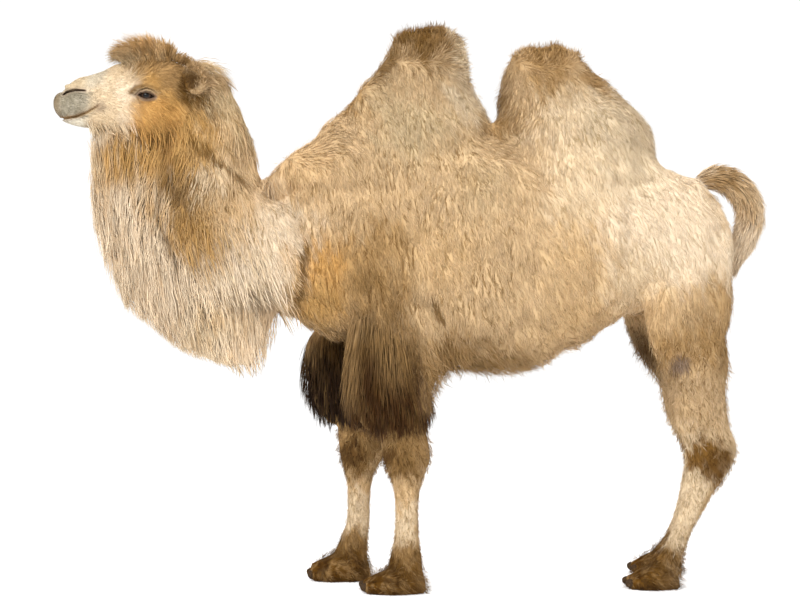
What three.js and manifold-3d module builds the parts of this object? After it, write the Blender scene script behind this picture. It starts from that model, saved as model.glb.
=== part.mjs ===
// Bactrian camel, standing, as a still life-size model.
//
// Frame: millimetres, +Z up, floor at Z = 0, head toward -X, the animal's left side toward -Y.
// The outline of every solid is the outline of the coat, out to the tips of the hair.
//
// The body is one smooth field: lofts of rounded sections, blended where flesh runs into flesh.
// Each node is that field inside its own region, parted from its neighbours by a thin gap.
// Hair that hangs clear of the body (beard, topknot, forearm hair), the ears, the tail, the
// eyes and the nails have fields of their own, each cut back to the flesh that carries it.
import * as THREE from 'three';
import { mergeVertices } from 'three/addons/utils/BufferGeometryUtils.js';
import Module from 'manifold-3d';

// ---- driving dimensions -------------------------------------------------------------------
const HUMP_TOP = 2158;          // highest point, on the front hump
const REAR_HUMP_TOP = 2087;
const BARREL_HALF = 330;        // half the width of the belly
const CHEST_HALF = 262;
const EYE_RADIUS = 27;
const EYE_X = -1028, EYE_Y = 83, EYE_Z = 1871;
const FORE_FOOT_Y = 152;        // centre line of a fore foot, either side of the middle
const HIND_FOOT_Y = 168;
const FAR_FORE_STEP = -182;     // how far the right fore foot stands ahead of the left
const FAR_HIND_STEP = 97;       // how far the right hind foot stands behind the left
const GAP = 0.5;                // parting gap between nodes
const LEFT = -1, RIGHT = 1;

// ---- fields -------------------------------------------------------------------------------
// A field gives a signed distance in mm, negative inside.

// Values between rows [s, ...values] by a cubic that passes through each row.
function spline(rows, s) {
  const last = rows.length - 1;
  if (s <= rows[0][0]) return rows[0].slice(1);
  if (s >= rows[last][0]) return rows[last].slice(1);
  let i = 0;
  while (s > rows[i + 1][0]) i++;
  const width = rows[i + 1][0] - rows[i][0], t = (s - rows[i][0]) / width;
  const slope = (j, c) => {
    const a = Math.max(j - 1, 0), b = Math.min(j + 1, last);
    return (rows[b][c] - rows[a][c]) / (rows[b][0] - rows[a][0]);
  };
  const h00 = (1 + 2 * t) * (1 - t) ** 2, h10 = t * (1 - t) ** 2;
  const h01 = t * t * (3 - 2 * t), h11 = t * t * (t - 1);
  return rows[i].slice(1).map((value, c) => h00 * value + h01 * rows[i + 1][c + 1]
    + width * (h10 * slope(i, c + 1) + h11 * slope(i + 1, c + 1)));
}

// Distance to a rounded section with half sizes a, b and end length c.
function roundSection(u, v, t, a, b, c, power) {
  const pu = Math.abs(u) / a, pv = Math.abs(v) / b, pt = Math.abs(t) / c;
  const k = (pu ** power + pv ** power + pt ** power) ** (1 / power);
  if (k < 1e-3) return -Math.min(a, b);
  const lean = power - 1;
  const rate = Math.hypot(pu ** lean / a, pv ** lean / b, pt ** lean / c) * k ** -lean;
  return (k - 1) / rate;
}

// A body whose section changes along X or Z. Rows are [s, low, high, side, half]: the section's
// extents across the axis in the XZ plane, its centre in Y and its half width in Y.
// crest is where the section is widest, from 0 at its low edge to 1 at its high edge.
function loft(axis, rows, { caps = [40, 40], power = 2.2, crest = 0.5 } = {}) {
  const first = rows[0][0], last = rows[rows.length - 1][0], steps = 96;
  const table = Array.from({ length: steps + 1 },
    (_, i) => spline(rows, first + (last - first) * i / steps));
  return (x, y, z) => {
    const s = axis === 'x' ? x : z, u = axis === 'x' ? z : x;
    const at = Math.min(Math.max((s - first) / (last - first), 0), 1) * steps;
    const i = Math.min(Math.floor(at), steps - 1), f = at - i;
    const [low, high, side, half] = table[i].map((value, c) => value + f * (table[i + 1][c] - value));
    const middle = low + crest * (high - low);
    const over = s < first ? s - first : s > last ? s - last : 0;
    return roundSection(u - middle, y - side, over, u > middle ? high - middle : middle - low, half,
      over < 0 ? caps[0] : caps[1], power);
  };
}

// A round cord of hair or flesh along points [x, y, z, radius], flattened in Y by squash.
function cord(points, squash = 1) {
  const rows = points.map((p, i) => [i, ...p]), steps = 8 * (points.length - 1);
  const path = Array.from({ length: steps + 1 }, (_, i) => spline(rows, i / 8));
  return (x, y, z) => {
    let best = Infinity;
    for (let i = 0; i < steps; i++) {
      const [ax, ay, az, ar] = path[i], [bx, by, bz, br] = path[i + 1];
      const dx = bx - ax, dz = bz - az;
      const t = Math.min(Math.max(((x - ax) * dx + (z - az) * dz) / (dx * dx + dz * dz), 0), 1);
      const side = (y - ay - t * (by - ay)) / squash;
      best = Math.min(best, Math.hypot(x - ax - t * dx, side, z - az - t * dz) - ar - t * (br - ar));
    }
    return best;
  };
}

// An ellipsoid leaning by a turn about Y, in degrees (nose up is positive for the head at -X).
function blob(cx, cy, cz, rx, ry, rz, turn = 0, power = 2) {
  const c = Math.cos(turn * Math.PI / 180), s = Math.sin(turn * Math.PI / 180);
  return (x, y, z) => {
    const dx = x - cx, dz = z - cz;
    return roundSection(c * dx - s * dz, y - cy, s * dx + c * dz, rx, ry, rz, power);
  };
}

const smoothMin = (a, b, blend) => {
  const h = Math.max(blend - Math.abs(a - b), 0) / blend;
  return Math.min(a, b) - h * h * blend / 4;
};
const join = (blend, ...fields) => (x, y, z) =>
  fields.reduce((sum, field) => smoothMin(sum, field(x, y, z), blend), 1e4);
const carve = (blend, field, ...tools) => (x, y, z) =>
  tools.reduce((sum, tool) => -smoothMin(-sum, tool(x, y, z), blend), field(x, y, z));
const mirrored = (make) => [make(LEFT), make(RIGHT)];

// ---- trunk, humps and neck ----------------------------------------------------------------
const trunkField = loft('x', [
  [-470, 1026, 1560, 0, 185],
  [-330, 950, 1640, 0, 228],
  [-120, 900, 1690, 0, CHEST_HALF],
  [80, 846, 1712, 0, 300],
  [300, 820, 1735, 0, BARREL_HALF],
  [470, 842, 1722, 0, 328],
  [565, 896, 1708, 0, 318],
  [650, 930, 1690, 0, 303],
  [730, 984, 1676, 0, 290],
  [810, 1030, 1660, 0, 275],
  [960, 1080, 1620, 0, 252],
  [1080, 1136, 1586, 0, 222],
  [1150, 1190, 1532, 0, 185],
], { caps: [95, 66], power: 2.3, crest: 0.42 });
const chestPad = blob(-150, 0, 902, 120, 78, 32, 0, 2.6);

const frontHumpField = loft('z', [
  [1560, -598, 330, 0, 205],
  [1640, -519, 330, 0, 196],
  [1716, -411, 326, 0, 180],
  [1793, -333, 302, 0, 160],
  [1870, -261, 248, 0, 138],
  [1948, -194, 213, 0, 120],
  [2025, -138, 206, 0, 105],
  [2085, -98, 190, 0, 94],
], { caps: [80, HUMP_TOP - 2085], power: 2.15 });

const rearHumpField = loft('z', [
  [1580, 300, 985, 0, 232],
  [1660, 304, 948, 0, 222],
  [1740, 306, 934, 0, 206],
  [1810, 312, 901, 0, 186],
  [1880, 313, 822, 0, 160],
  [1945, 324, 752, 0, 136],
  [1995, 342, 696, 0, 116],
  [2030, 366, 656, 0, 102],
], { caps: [80, REAR_HUMP_TOP - 2030], power: 2.2 });

const neckField = loft('z', [
  [1190, -880, -330, 0, 165],
  [1310, -975, -360, 0, 172],
  [1400, -985, -440, 0, 166],
  [1500, -960, -560, 0, 150],
  [1600, -950, -604, 0, 138],
  [1700, -955, -626, 0, 126],
  [1790, -950, -655, 0, 114],
  [1870, -920, -681, 0, 104],
  [1930, -880, -700, 0, 92],
], { caps: [90, 50], power: 2.2 });

// ---- head ---------------------------------------------------------------------------------
const skullField = loft('x', [
  [-1345, 1802, 1886, 0, 42],
  [-1318, 1784, 1921, 0, 55],
  [-1285, 1769, 1944, 0, 62],
  [-1245, 1759, 1955, 0, 63],
  [-1195, 1752, 1974, 0, 63],
  [-1140, 1735, 2002, 0, 69],
  [-1080, 1714, 2020, 0, 84],
  [-1020, 1698, 2032, 0, 98],
  [-950, 1694, 2026, 0, 106],
  [-890, 1716, 2004, 0, 100],
  [-840, 1760, 1978, 0, 86],
], { caps: [32, 50], power: 2.25, crest: 0.5 });

const orbits = mirrored((side) => blob(EYE_X - 4, side * 78, EYE_Z + 20, 60, 34, 24, 8));
const cheeks = mirrored((side) => blob(-985, side * 70, 1795, 88, 42, 66, -24));
const lowerLip = blob(-1290, 0, 1784, 62, 44, 20, 9);
const upperLips = mirrored((side) => blob(-1318, side * 26, 1842, 50, 32, 42, 22));
const mouthLine = mirrored((side) => blob(-1290, side * 62, 1804, 88, 22, 4.5, 9));
const lipCleft = blob(-1384, 0, 1838, 16, 5, 34);
const nostrils = mirrored((side) => blob(-1296, side * 58, 1886, 44, 15, 5, 12));
const sockets = mirrored((side) => blob(EYE_X, side * (EYE_Y + 20), EYE_Z, 31, 26, 20, 6));
const headField = carve(6,
  carve(14, join(30, skullField, ...orbits, ...cheeks, lowerLip, ...upperLips), ...sockets),
  ...mouthLine, lipCleft, ...nostrils);

const earField = (side) => {
  const leaf = blob(-846, side * 118, 1926, 44, 24, 54, -12, 2.2);
  return carve(5, leaf, blob(-856, side * 142, 1932, 27, 19, 36, -12));
};

// ---- legs ---------------------------------------------------------------------------------
// Rows of a leg are [z, front, back, y, half]; step carries the right leg ahead or behind.
const shifted = (rows, side, step) => rows.map(([z, front, back, y, half]) =>
  [z, front + step(z), back + step(z), side * y, half]);
const ramp = (from, to) => (z) => Math.min(Math.max((from - z) / (from - to), 0), 1);

const foreStep = (z) => FAR_FORE_STEP * (0.76 * ramp(1300, 900)(z) + 0.1 * ramp(560, 400)(z)
  + 0.14 * ramp(240, 120)(z));
const hindStep = (z) => FAR_HIND_STEP * (0.45 * ramp(960, 800)(z) + 0.14 * ramp(760, 640)(z)
  + 0.3 * ramp(570, 470)(z) + 0.11 * ramp(300, 60)(z));

const foreLegField = (side) => {
  const step = side === RIGHT ? foreStep : () => 0;
  const shank = loft('z', shifted([
    [62, -128, 14, FORE_FOOT_Y, 62],
    [110, -126, 12, FORE_FOOT_Y, 54],
    [160, -114, 4, FORE_FOOT_Y, 44],
    [220, -103, -2, FORE_FOOT_Y, 39],
    [340, -101, -3, 150, 39],
    [405, -111, 8, 148, 44],
    [450, -130, 26, 146, 56],
    [500, -148, 45, 145, 66],
    [550, -158, 42, 147, 66],
    [620, -166, 30, 152, 66],
    [720, -176, 44, 160, 80],
    [840, -205, 92, 168, 96],
    [980, -250, 150, 165, 105],
    [1150, -290, 190, 150, 100],
    [1300, -270, 170, 130, 95],
  ], side, step), { caps: [30, 120], power: 2.1 });
  const rise = side === RIGHT ? 14 : 0;
  const pad = loft('x', [
    [-200, -22, 58 + rise, FORE_FOOT_Y, 62],
    [-160, -50, 76 + rise, FORE_FOOT_Y, 82],
    [-110, -64, 94 + rise, FORE_FOOT_Y, 90],
    [-50, -64, 96, FORE_FOOT_Y, 88],
    [-8, -62, 72, FORE_FOOT_Y, 74],
  ].map(([x, low, high, y, half]) => [x + step(20), low, high, side * y, half]),
  { caps: [24, 36], power: 2.4 });
  const toeCleft = blob(-218 + step(20), side * FORE_FOOT_Y, 26, 46, 7, 60, -30);
  return join(22, shank, carve(10, pad, toeCleft));
};

const hindLegField = (side) => {
  const step = side === RIGHT ? hindStep : () => 0;
  const shank = loft('z', shifted([
    [62, 872, 1000, HIND_FOOT_Y, 58],
    [95, 884, 1006, HIND_FOOT_Y, 50],
    [144, 924, 1024, HIND_FOOT_Y, 40],
    [216, 962, 1051, 166, 36],
    [308, 991, 1106, 163, 37],
    [360, 1000, 1137, 161, 40],
    [411, 1011, 1178, 160, 45],
    [470, 1014, 1214, 160, 50],
    [525, 1010, 1231, 160, 52],
    [565, 1001, 1222, 162, 54],
    [620, 974, 1200, 166, 60],
    [700, 962, 1186, 174, 74],
    [770, 956, 1180, 182, 88],
    [840, 922, 1182, 190, 102],
    [930, 876, 1184, 190, 112],
    [1030, 854, 1196, 182, 118],
    [1150, 862, 1214, 168, 118],
    [1280, 880, 1216, 145, 112],
    [1380, 920, 1190, 125, 100],
  ], side, step), { caps: [30, 90], power: 2.15 });
  const pad = loft('x', [
    [812, -22, 56, HIND_FOOT_Y, 56],
    [846, -50, 75, HIND_FOOT_Y, 76],
    [885, -64, 88, HIND_FOOT_Y, 82],
    [935, -64, 90, HIND_FOOT_Y, 78],
    [968, -62, 66, HIND_FOOT_Y, 64],
  ].map(([x, low, high, y, half]) => [x + step(20), low, high, side * y, half]),
  { caps: [22, 32], power: 2.4 });
  const toeCleft = blob(800 + step(20), side * HIND_FOOT_Y, 24, 42, 7, 56, -30);
  return join(22, shank, carve(10, pad, toeCleft));
};

// Two nails at the front of each foot, one to a toe.
const nailField = (front, footY, side, toe) =>
  blob(front, side * footY + toe * 33, 27, 22, 19, 21, -26, 2.4);

const bodyField = join(50,
  join(90, join(26, trunkField, chestPad), neckField), join(30, frontHumpField, rearHumpField),
  ...mirrored(foreLegField), ...mirrored(hindLegField));
const fleshField = join(34, bodyField, headField);

// ---- hair that hangs clear of the flesh, and the tail --------------------------------------
const beardField = loft('z', [
  [834, -716, -592, 0, 34],
  [872, -838, -575, 0, 46],
  [910, -908, -560, 0, 56],
  [960, -968, -530, 0, 68],
  [1020, -1048, -500, 0, 80],
  [1103, -1136, -480, 0, 94],
  [1236, -1193, -520, 0, 108],
  [1369, -1219, -600, 0, 108],
  [1482, -1238, -700, 0, 100],
  [1580, -1243, -760, 0, 92],
  [1680, -1246, -800, 0, 80],
  [1725, -1254, -850, 0, 70],
], { caps: [42, 48], power: 2.1 });

const topknotField = loft('x', [
  [-1166, 1982, 2080, 0, 40],
  [-1135, 1975, 2110, 0, 54],
  [-1090, 1975, 2124, 0, 62],
  [-1030, 1975, 2119, 0, 68],
  [-970, 1970, 2087, 0, 70],
  [-910, 1960, 2054, 0, 68],
  [-855, 1950, 2026, 0, 58],
], { caps: [26, 32], power: 2.1 });

// The hair of the forearms hangs in a wide cuff that flares toward the knee.
const foreHairField = (side) => {
  const step = side === RIGHT ? foreStep : () => 0, tuck = side === RIGHT ? 1 : 0;
  return loft('z', shifted([
    [628, -262 + 22 * tuck, 34, 162, 92],
    [690, -302 + 14 * tuck, 84, 166, 112],
    [770, -316 + 4 * tuck, 58, 172, 124],
    [850, -318 - 8 * tuck, 44, 176, 126],
    [930, -316 - 12 * tuck, 52, 176, 118],
    [1020, -300, 52, 166, 100],
  ], side, step), { caps: [52, 50], power: 2.3 });
};

const tailField = cord([
  [1095, 0, 1556, 44],
  [1180, 0, 1580, 58],
  [1258, 0, 1554, 62],
  [1310, -4, 1488, 62],
  [1322, -8, 1414, 59],
  [1300, -12, 1342, 53],
  [1270, -14, 1276, 38],
  [1256, -14, 1236, 20],
], 0.82);

// ---- meshing ------------------------------------------------------------------------------
// Closed mesh of field = 0 inside box [x0, y0, z0, x1, y1, z1]. Each cell of the grid is split
// into six tetrahedra along its diagonal, and each tetrahedron gives one or two triangles.
function surface(field, box, cell) {
  const low = box.slice(0, 3);
  const [nx, ny, nz] = [0, 1, 2].map((c) => Math.ceil((box[c + 3] - box[c]) / cell) + 1);
  const place = (n) => [n % nx, Math.floor(n / nx) % ny, Math.floor(n / (nx * ny))];
  const point = (n) => place(n).map((v, c) => low[c] + v * cell);
  const value = Float64Array.from({ length: nx * ny * nz }, (_, n) => {
    const [i, j, k] = place(n);
    const edge = i === 0 || j === 0 || k === 0 || i === nx - 1 || j === ny - 1 || k === nz - 1;
    const f = field(...point(n));
    return edge ? Math.max(f, 0.3 * cell) : f;
  });
  const corner = (bits) => (bits & 1) + (bits & 2 ? nx : 0) + (bits & 4 ? nx * ny : 0);
  const splits = [[1, 3], [1, 5], [2, 3], [2, 6], [4, 5], [4, 6]].map((mid) => [0, ...mid, 7].map(corner));
  const points = [], faces = [], known = new Map();
  const crossing = (a, b) => {
    const key = Math.min(a, b) * value.length + Math.max(a, b);
    if (!known.has(key)) {
      const pa = point(a), pb = point(b), along = (t) => pa.map((v, c) => v + t * (pb[c] - v));
      let t = value[a] / (value[a] - value[b]);
      const f = field(...along(t));
      if (Math.abs(f) < cell) t -= f / (value[b] - value[a]);
      known.set(key, points.push(along(Math.min(Math.max(t, 0.02), 0.98))) - 1);
    }
    return known.get(key);
  };
  for (let n = 0; n < value.length - corner(7); n++) {
    const inside = [0, 1, 2, 3, 4, 5, 6, 7].filter((bits) => value[n + corner(bits)] < 0).length;
    if (!inside || inside === 8 || place(n)[0] === nx - 1 || place(n)[1] === ny - 1) continue;
    for (const split of splits) {
      const all = split.map((offset) => n + offset);
      const ins = all.filter((v) => value[v] < 0), outs = all.filter((v) => !(value[v] < 0));
      if (!ins.length || !outs.length) continue;
      const ring = ins.length === 2
        ? [[0, 0], [0, 1], [1, 1], [1, 0]].map(([i, o]) => crossing(ins[i], outs[o]))
        : ins.flatMap((i) => outs.map((o) => crossing(i, o)));
      const middle = (set) => [0, 1, 2].map((c) => set.reduce((sum, v) => sum + point(v)[c], 0) / set.length);
      const [inner, outer] = [middle(ins), middle(outs)], out = outer.map((v, c) => v - inner[c]);
      const [p, q, r] = ring.map((v) => points[v]);
      const u = q.map((v, c) => v - p[c]), w = r.map((v, c) => v - p[c]);
      const facing = out[0] * (u[1] * w[2] - u[2] * w[1]) + out[1] * (u[2] * w[0] - u[0] * w[2])
        + out[2] * (u[0] * w[1] - u[1] * w[0]);
      if (facing < 0) ring.reverse();
      for (let c = 2; c < ring.length; c++) faces.push([ring[0], ring[c - 1], ring[c]]);
    }
  }
  return { points, faces };
}

// The mesh with no more faces than asked: edges shrink to points, the cheapest first. The price
// is the squared distance of the point from the planes of the faces that met at the edge.
function thinned(mesh, most) {
  const points = mesh.points, corners = (f) => f.map((i) => points[i]);
  const cross = ([a, b, c]) => {
    const u = [0, 1, 2].map((d) => b[d] - a[d]), v = [0, 1, 2].map((d) => c[d] - a[d]);
    return [u[1] * v[2] - u[2] * v[1], u[2] * v[0] - u[0] * v[2], u[0] * v[1] - u[1] * v[0]];
  };
  const quadric = points.map(() => new Float64Array(10));
  for (const f of mesh.faces) {
    const n = cross(corners(f)), size = Math.hypot(...n) || 1e-9, p = points[f[0]];
    const [a, b, c] = n.map((v) => v / size), d = -(a * p[0] + b * p[1] + c * p[2]);
    const plane = [a * a, a * b, a * c, a * d, b * b, b * c, b * d, c * c, c * d, d * d];
    for (const i of f) plane.forEach((v, m) => { quadric[i][m] += v * size; });
  }
  const price = (q, [x, y, z]) => q[0] * x * x + q[4] * y * y + q[7] * z * z + q[9]
    + 2 * (q[1] * x * y + q[2] * x * z + q[5] * y * z + q[3] * x + q[6] * y + q[8] * z);
  const bestPoint = (q, a, b) => {
    const middle = [0, 1, 2].map((d) => (a[d] + b[d]) / 2), pull = 1e-3 * (q[0] + q[4] + q[7]);
    const m = [[q[0] + pull, q[1], q[2]], [q[1], q[4] + pull, q[5]], [q[2], q[5], q[7] + pull]];
    const r = [0, 1, 2].map((d) => pull * middle[d] - [q[3], q[6], q[8]][d]);
    const det = (c) => c[0][0] * (c[1][1] * c[2][2] - c[1][2] * c[2][1])
      - c[0][1] * (c[1][0] * c[2][2] - c[1][2] * c[2][0]) + c[0][2] * (c[1][0] * c[2][1] - c[1][1] * c[2][0]);
    return [0, 1, 2].map((c) => det(m.map((row, i) => row.map((v, j) => (j === c ? r[i] : v)))) / det(m));
  };
  let faces = mesh.faces;
  for (let pass = 0; pass < 60 && faces.length > most; pass++) {
    const around = points.map(() => []), edges = [];
    faces.forEach((f) => f.forEach((i, c) => {
      around[i].push(f);
      const j = f[(c + 1) % 3];
      if (i < j) {
        const q = quadric[i].map((v, m) => v + quadric[j][m]), at = bestPoint(q, points[i], points[j]);
        const long = Math.hypot(...at.map((v, d) => points[i][d] - points[j][d]));
        edges.push({ i, j, q, at, cost: price(q, at) + 2e-3 * long ** 4 });
      }
    }));
    edges.sort((a, b) => a.cost - b.cost);
    const locked = new Uint8Array(points.length), ring = (i) => new Set(around[i].flat());
    let left = faces.length;
    const dead = new Set();
    for (const { i, j, q, at } of edges.slice(0, Math.ceil(edges.length / 4))) {
      if (left <= most) break;
      if (locked[i] || locked[j]) continue;
      const ri = ring(i), rj = ring(j), shared = [...ri].filter((v) => rj.has(v) && v !== i && v !== j);
      if (shared.length !== 2) continue;
      const kept = [...around[i], ...around[j]].filter((f) => !(f.includes(i) && f.includes(j)));
      const turns = kept.some((f) => {
        const before = cross(corners(f)), after = cross(f.map((v) => (v === i || v === j ? at : points[v])));
        const dot = before.reduce((sum, v, d) => sum + v * after[d], 0);
        return dot < 0.3 * Math.hypot(...before) * Math.hypot(...after);
      });
      if (turns) continue;
      around[i].filter((f) => f.includes(j)).forEach((f) => dead.add(f));
      kept.forEach((f) => { f.forEach((v, c) => { if (v === j) f[c] = i; }); });
      points[i] = at;
      quadric[i] = q;
      [...ri, ...rj].forEach((v) => { locked[v] = 1; });
      left -= 2;
    }
    if (!dead.size) break;
    faces = faces.filter((f) => !dead.has(f));
  }
  const used = [...new Set(faces.flat())], place = new Map(used.map((v, n) => [v, n]));
  return { points: used.map((v) => points[v]), faces: faces.map((f) => f.map((v) => place.get(v))) };
}

const wasm = await Module();
wasm.setup();
const solid = ({ points, faces }) => new wasm.Manifold(new wasm.Mesh({
  numProp: 3,
  vertProperties: Float32Array.from(points.flat()),
  triVerts: Uint32Array.from(faces.flat()),
}));

function solidOf(geometry) {
  geometry.deleteAttribute('normal');
  geometry.deleteAttribute('uv');
  const merged = mergeVertices(geometry), p = merged.attributes.position, f = merged.index.array;
  return new wasm.Manifold(new wasm.Mesh({
    numProp: 3, vertProperties: Float32Array.from(p.array), triVerts: Uint32Array.from(f),
  }));
}

// A block between two corners, leaning by a turn about Y around its centre, in degrees.
function block([x0, y0, z0], [x1, y1, z1], turn = 0) {
  const geometry = new THREE.BoxGeometry(x1 - x0, y1 - y0, z1 - z0);
  geometry.rotateY(turn * Math.PI / 180);
  geometry.translate((x0 + x1) / 2, (y0 + y1) / 2, (z0 + z1) / 2);
  return solidOf(geometry);
}

// The half space ahead of (toward -X) or behind a plane through two points of the XZ plane.
function halfSpace([ax, az], [bx, bz], ahead) {
  const reach = 3000, lean = Math.atan2(bx - ax, bz - az), sign = ahead ? -1 : 1;
  const geometry = new THREE.BoxGeometry(reach, reach, 2 * reach);
  geometry.translate(sign * (reach / 2 + GAP / 2), 0, 0);
  geometry.rotateY(lean);
  geometry.translate((ax + bx) / 2, 0, (az + bz) / 2);
  return solidOf(geometry);
}

// The mesh with each vertex moved out along its normal, used to cut a neighbour back. Where
// faces meet at a sharp edge the vertex moves further, so that each face moves out in full.
function swollen(mesh, by) {
  const { vertProperties: p, triVerts: t, numProp } = mesh.getMesh();
  const count = p.length / numProp, normal = new Float64Array(3 * count);
  const v = (i) => new THREE.Vector3(p[i * numProp], p[i * numProp + 1], p[i * numProp + 2]);
  for (let f = 0; f < t.length; f += 3) {
    const [a, b, c] = [t[f], t[f + 1], t[f + 2]];
    const n = v(b).sub(v(a)).cross(v(c).sub(v(a))).normalize();
    for (const i of [a, b, c]) {
      const toward = [a, b, c].filter((j) => j !== i);
      const angle = v(toward[0]).sub(v(i)).angleTo(v(toward[1]).sub(v(i)));
      n.toArray().forEach((value, d) => { normal[3 * i + d] += value * angle; });
    }
  }
  const flat = Array.from({ length: count }, () => []);
  for (let f = 0; f < t.length; f += 3) {
    const [a, b, c] = [v(t[f]), v(t[f + 1]), v(t[f + 2])];
    const n = b.sub(a).cross(c.sub(a)).normalize();
    for (let d = 0; d < 3; d++) flat[t[f + d]].push(n);
  }
  const reach = (i, n) => Math.min(3, 1 / Math.max(0.3, ...[Math.min(...flat[i].map((m) => m.dot(n)))]));
  const points = [];
  for (let i = 0; i < count; i++) {
    const n = new THREE.Vector3(...normal.slice(3 * i, 3 * i + 3)).normalize();
    points.push(v(i).addScaledVector(n, by * reach(i, n)).toArray());
  }
  const faces = [];
  for (let f = 0; f < t.length; f += 3) faces.push([t[f], t[f + 1], t[f + 2]]);
  return solid({ points, faces });
}

const biggest = (body) => body.decompose().reduce((best, one) =>
  (one.volume() > best.volume() ? one : best));

// ---- regions of the body ------------------------------------------------------------------
const POLL = [-800, 2010], THROAT = [-925, 1680];         // head from neck
const WITHERS = [-570, 1620], BRISKET = [-455, 1000];     // neck from trunk
const HUMP_FLOOR = 1702, HUMP_VALLEY = 312;               // humps from trunk, and hump from hump
const ELBOW = 838, FORE_KNEE = 545, FORE_FETLOCK = 112;   // levels that part a fore leg
const GROIN = 1000, STIFLE = 800, HOCK = 575, HIND_FETLOCK = 98;
const half = GAP / 2, FAR = 3000;

const legRegion = (side, x0, x1, top, bottom, inner = 0) => block(
  [x0, side === LEFT ? -FAR : inner + half, bottom + half],
  [x1, side === LEFT ? -inner - half : FAR, top - half]);

const BODY_BOX = [-700, -400, 700, 1300, 400, 2200];
const part = (field, box, cell, most, ...regions) => biggest(regions.reduce(
  (body, region) => body.intersect(region), solid(thinned(surface(field, box, cell), most))));

const parts = new Map();

// A body cut back to clear the named nodes.
const clearOf = (body, ...names) => biggest(names.reduce((rest, name) =>
  rest.subtract(swollen(parts.get(name), GAP)), body));

// Feet rest on flats at the floor, so their blocks start at Z = 0.
function footOf(name, field, side, box, fetlock, front, footY) {
  const foot = part(field, box, 14, 170, block([box[0], box[1], 0], [box[3], box[4], fetlock - half]));
  const nails = [-1, 1].map((toe) => {
    const y = side * footY + toe * 33;
    return part(nailField(front, footY, side, toe), [front - 40, y - 40, -10, front + 40, y + 40, 70],
      9, 30, block([front - 60, -FAR, 3], [front + 3, FAR, 70]));
  });
  parts.set(name, nails.reduce((body, nail) => biggest(body.subtract(swollen(nail, GAP))), foot));
  parts.set(`${name}_nail_outer`, nails[side === LEFT ? 0 : 1]);
  parts.set(`${name}_nail_inner`, nails[side === LEFT ? 1 : 0]);
}

for (const side of [LEFT, RIGHT]) {
  const name = side === LEFT ? 'left' : 'right';
  const [yLow, yHigh] = side === LEFT ? [-340, 40] : [-40, 340];
  const fx = side === RIGHT ? foreStep(20) : 0, hx = side === RIGHT ? hindStep(20) : 0;
  const foreX = [-520, 130], hindX = [740, 1400];
  parts.set(`fore_leg_${name}_upper`, part(fleshField, [foreX[0], yLow, 500, foreX[1], yHigh, 920],
    28, 220, legRegion(side, ...foreX, ELBOW, FORE_KNEE, 40)));
  parts.set(`fore_leg_${name}_lower`, part(fleshField, [-420, yLow, 70, 120, yHigh, 590],
    18, 230, legRegion(side, ...foreX, FORE_KNEE, FORE_FETLOCK)));
  const fy = side * FORE_FOOT_Y, hy = side * HIND_FOOT_Y;
  footOf(`fore_foot_${name}`, fleshField, side, [-270 + fx, fy - 115, -30, 70 + fx, fy + 115, 150],
    FORE_FETLOCK, -216 + fx, FORE_FOOT_Y);
  parts.set(`hind_leg_${name}_thigh`, part(fleshField, [800, yLow, 740, 1330, yHigh, 1060],
    34, 150, legRegion(side, ...hindX, GROIN, STIFLE)));
  parts.set(`hind_leg_${name}_gaskin`, part(fleshField, [880, yLow, 530, 1330, yHigh, 850],
    28, 150, legRegion(side, ...hindX, STIFLE, HOCK)));
  parts.set(`hind_leg_${name}_cannon`, part(fleshField, [820, yLow, 60, 1330, yHigh, 620],
    18, 260, legRegion(side, ...hindX, HOCK, HIND_FETLOCK)));
  footOf(`hind_foot_${name}`, fleshField, side, [740 + hx, hy - 110, -30, 1050 + hx, hy + 110, 135],
    HIND_FETLOCK, 798 + hx, HIND_FOOT_Y);
}

for (const [name, side] of [['eye_left', LEFT], ['eye_right', RIGHT]]) {
  const ball = new THREE.SphereGeometry(EYE_RADIUS, 10, 8);
  ball.translate(EYE_X, side * EYE_Y, EYE_Z);
  parts.set(name, solidOf(ball));
}
parts.set('head', clearOf(part(fleshField, [-1420, -160, 1640, -730, 160, 2080], 13, 1320,
  halfSpace(THROAT, POLL, true)), 'eye_left', 'eye_right'));
parts.set('neck', part(fleshField, [-1080, -220, 1010, -380, 220, 2010],
  34, 420, halfSpace(THROAT, POLL, false), halfSpace(BRISKET, WITHERS, true)));
const torso = part(fleshField, BODY_BOX, 36, 1160, halfSpace(BRISKET, WITHERS, false));
const limbSpace = [LEFT, RIGHT].flatMap((side) => {
  const [a, b] = side === LEFT ? [-FAR, -40 + half] : [40 - half, FAR];
  return [block([-520, a, 500], [130, b, ELBOW + half]),
    block([740, -FAR, 500], [1400, FAR, GROIN + half])];
});
parts.set('trunk', biggest(limbSpace.reduce((body, space) => body.subtract(space), torso)
  .subtract(block([-FAR, -FAR, HUMP_FLOOR - half], [FAR, FAR, FAR]))));
parts.set('hump_front', biggest(torso.intersect(
  block([-700, -FAR, HUMP_FLOOR + half], [HUMP_VALLEY - half, FAR, FAR]))));
parts.set('hump_rear', biggest(torso.intersect(
  block([HUMP_VALLEY + half, -FAR, HUMP_FLOOR + half], [1400, FAR, FAR]))));

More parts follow.
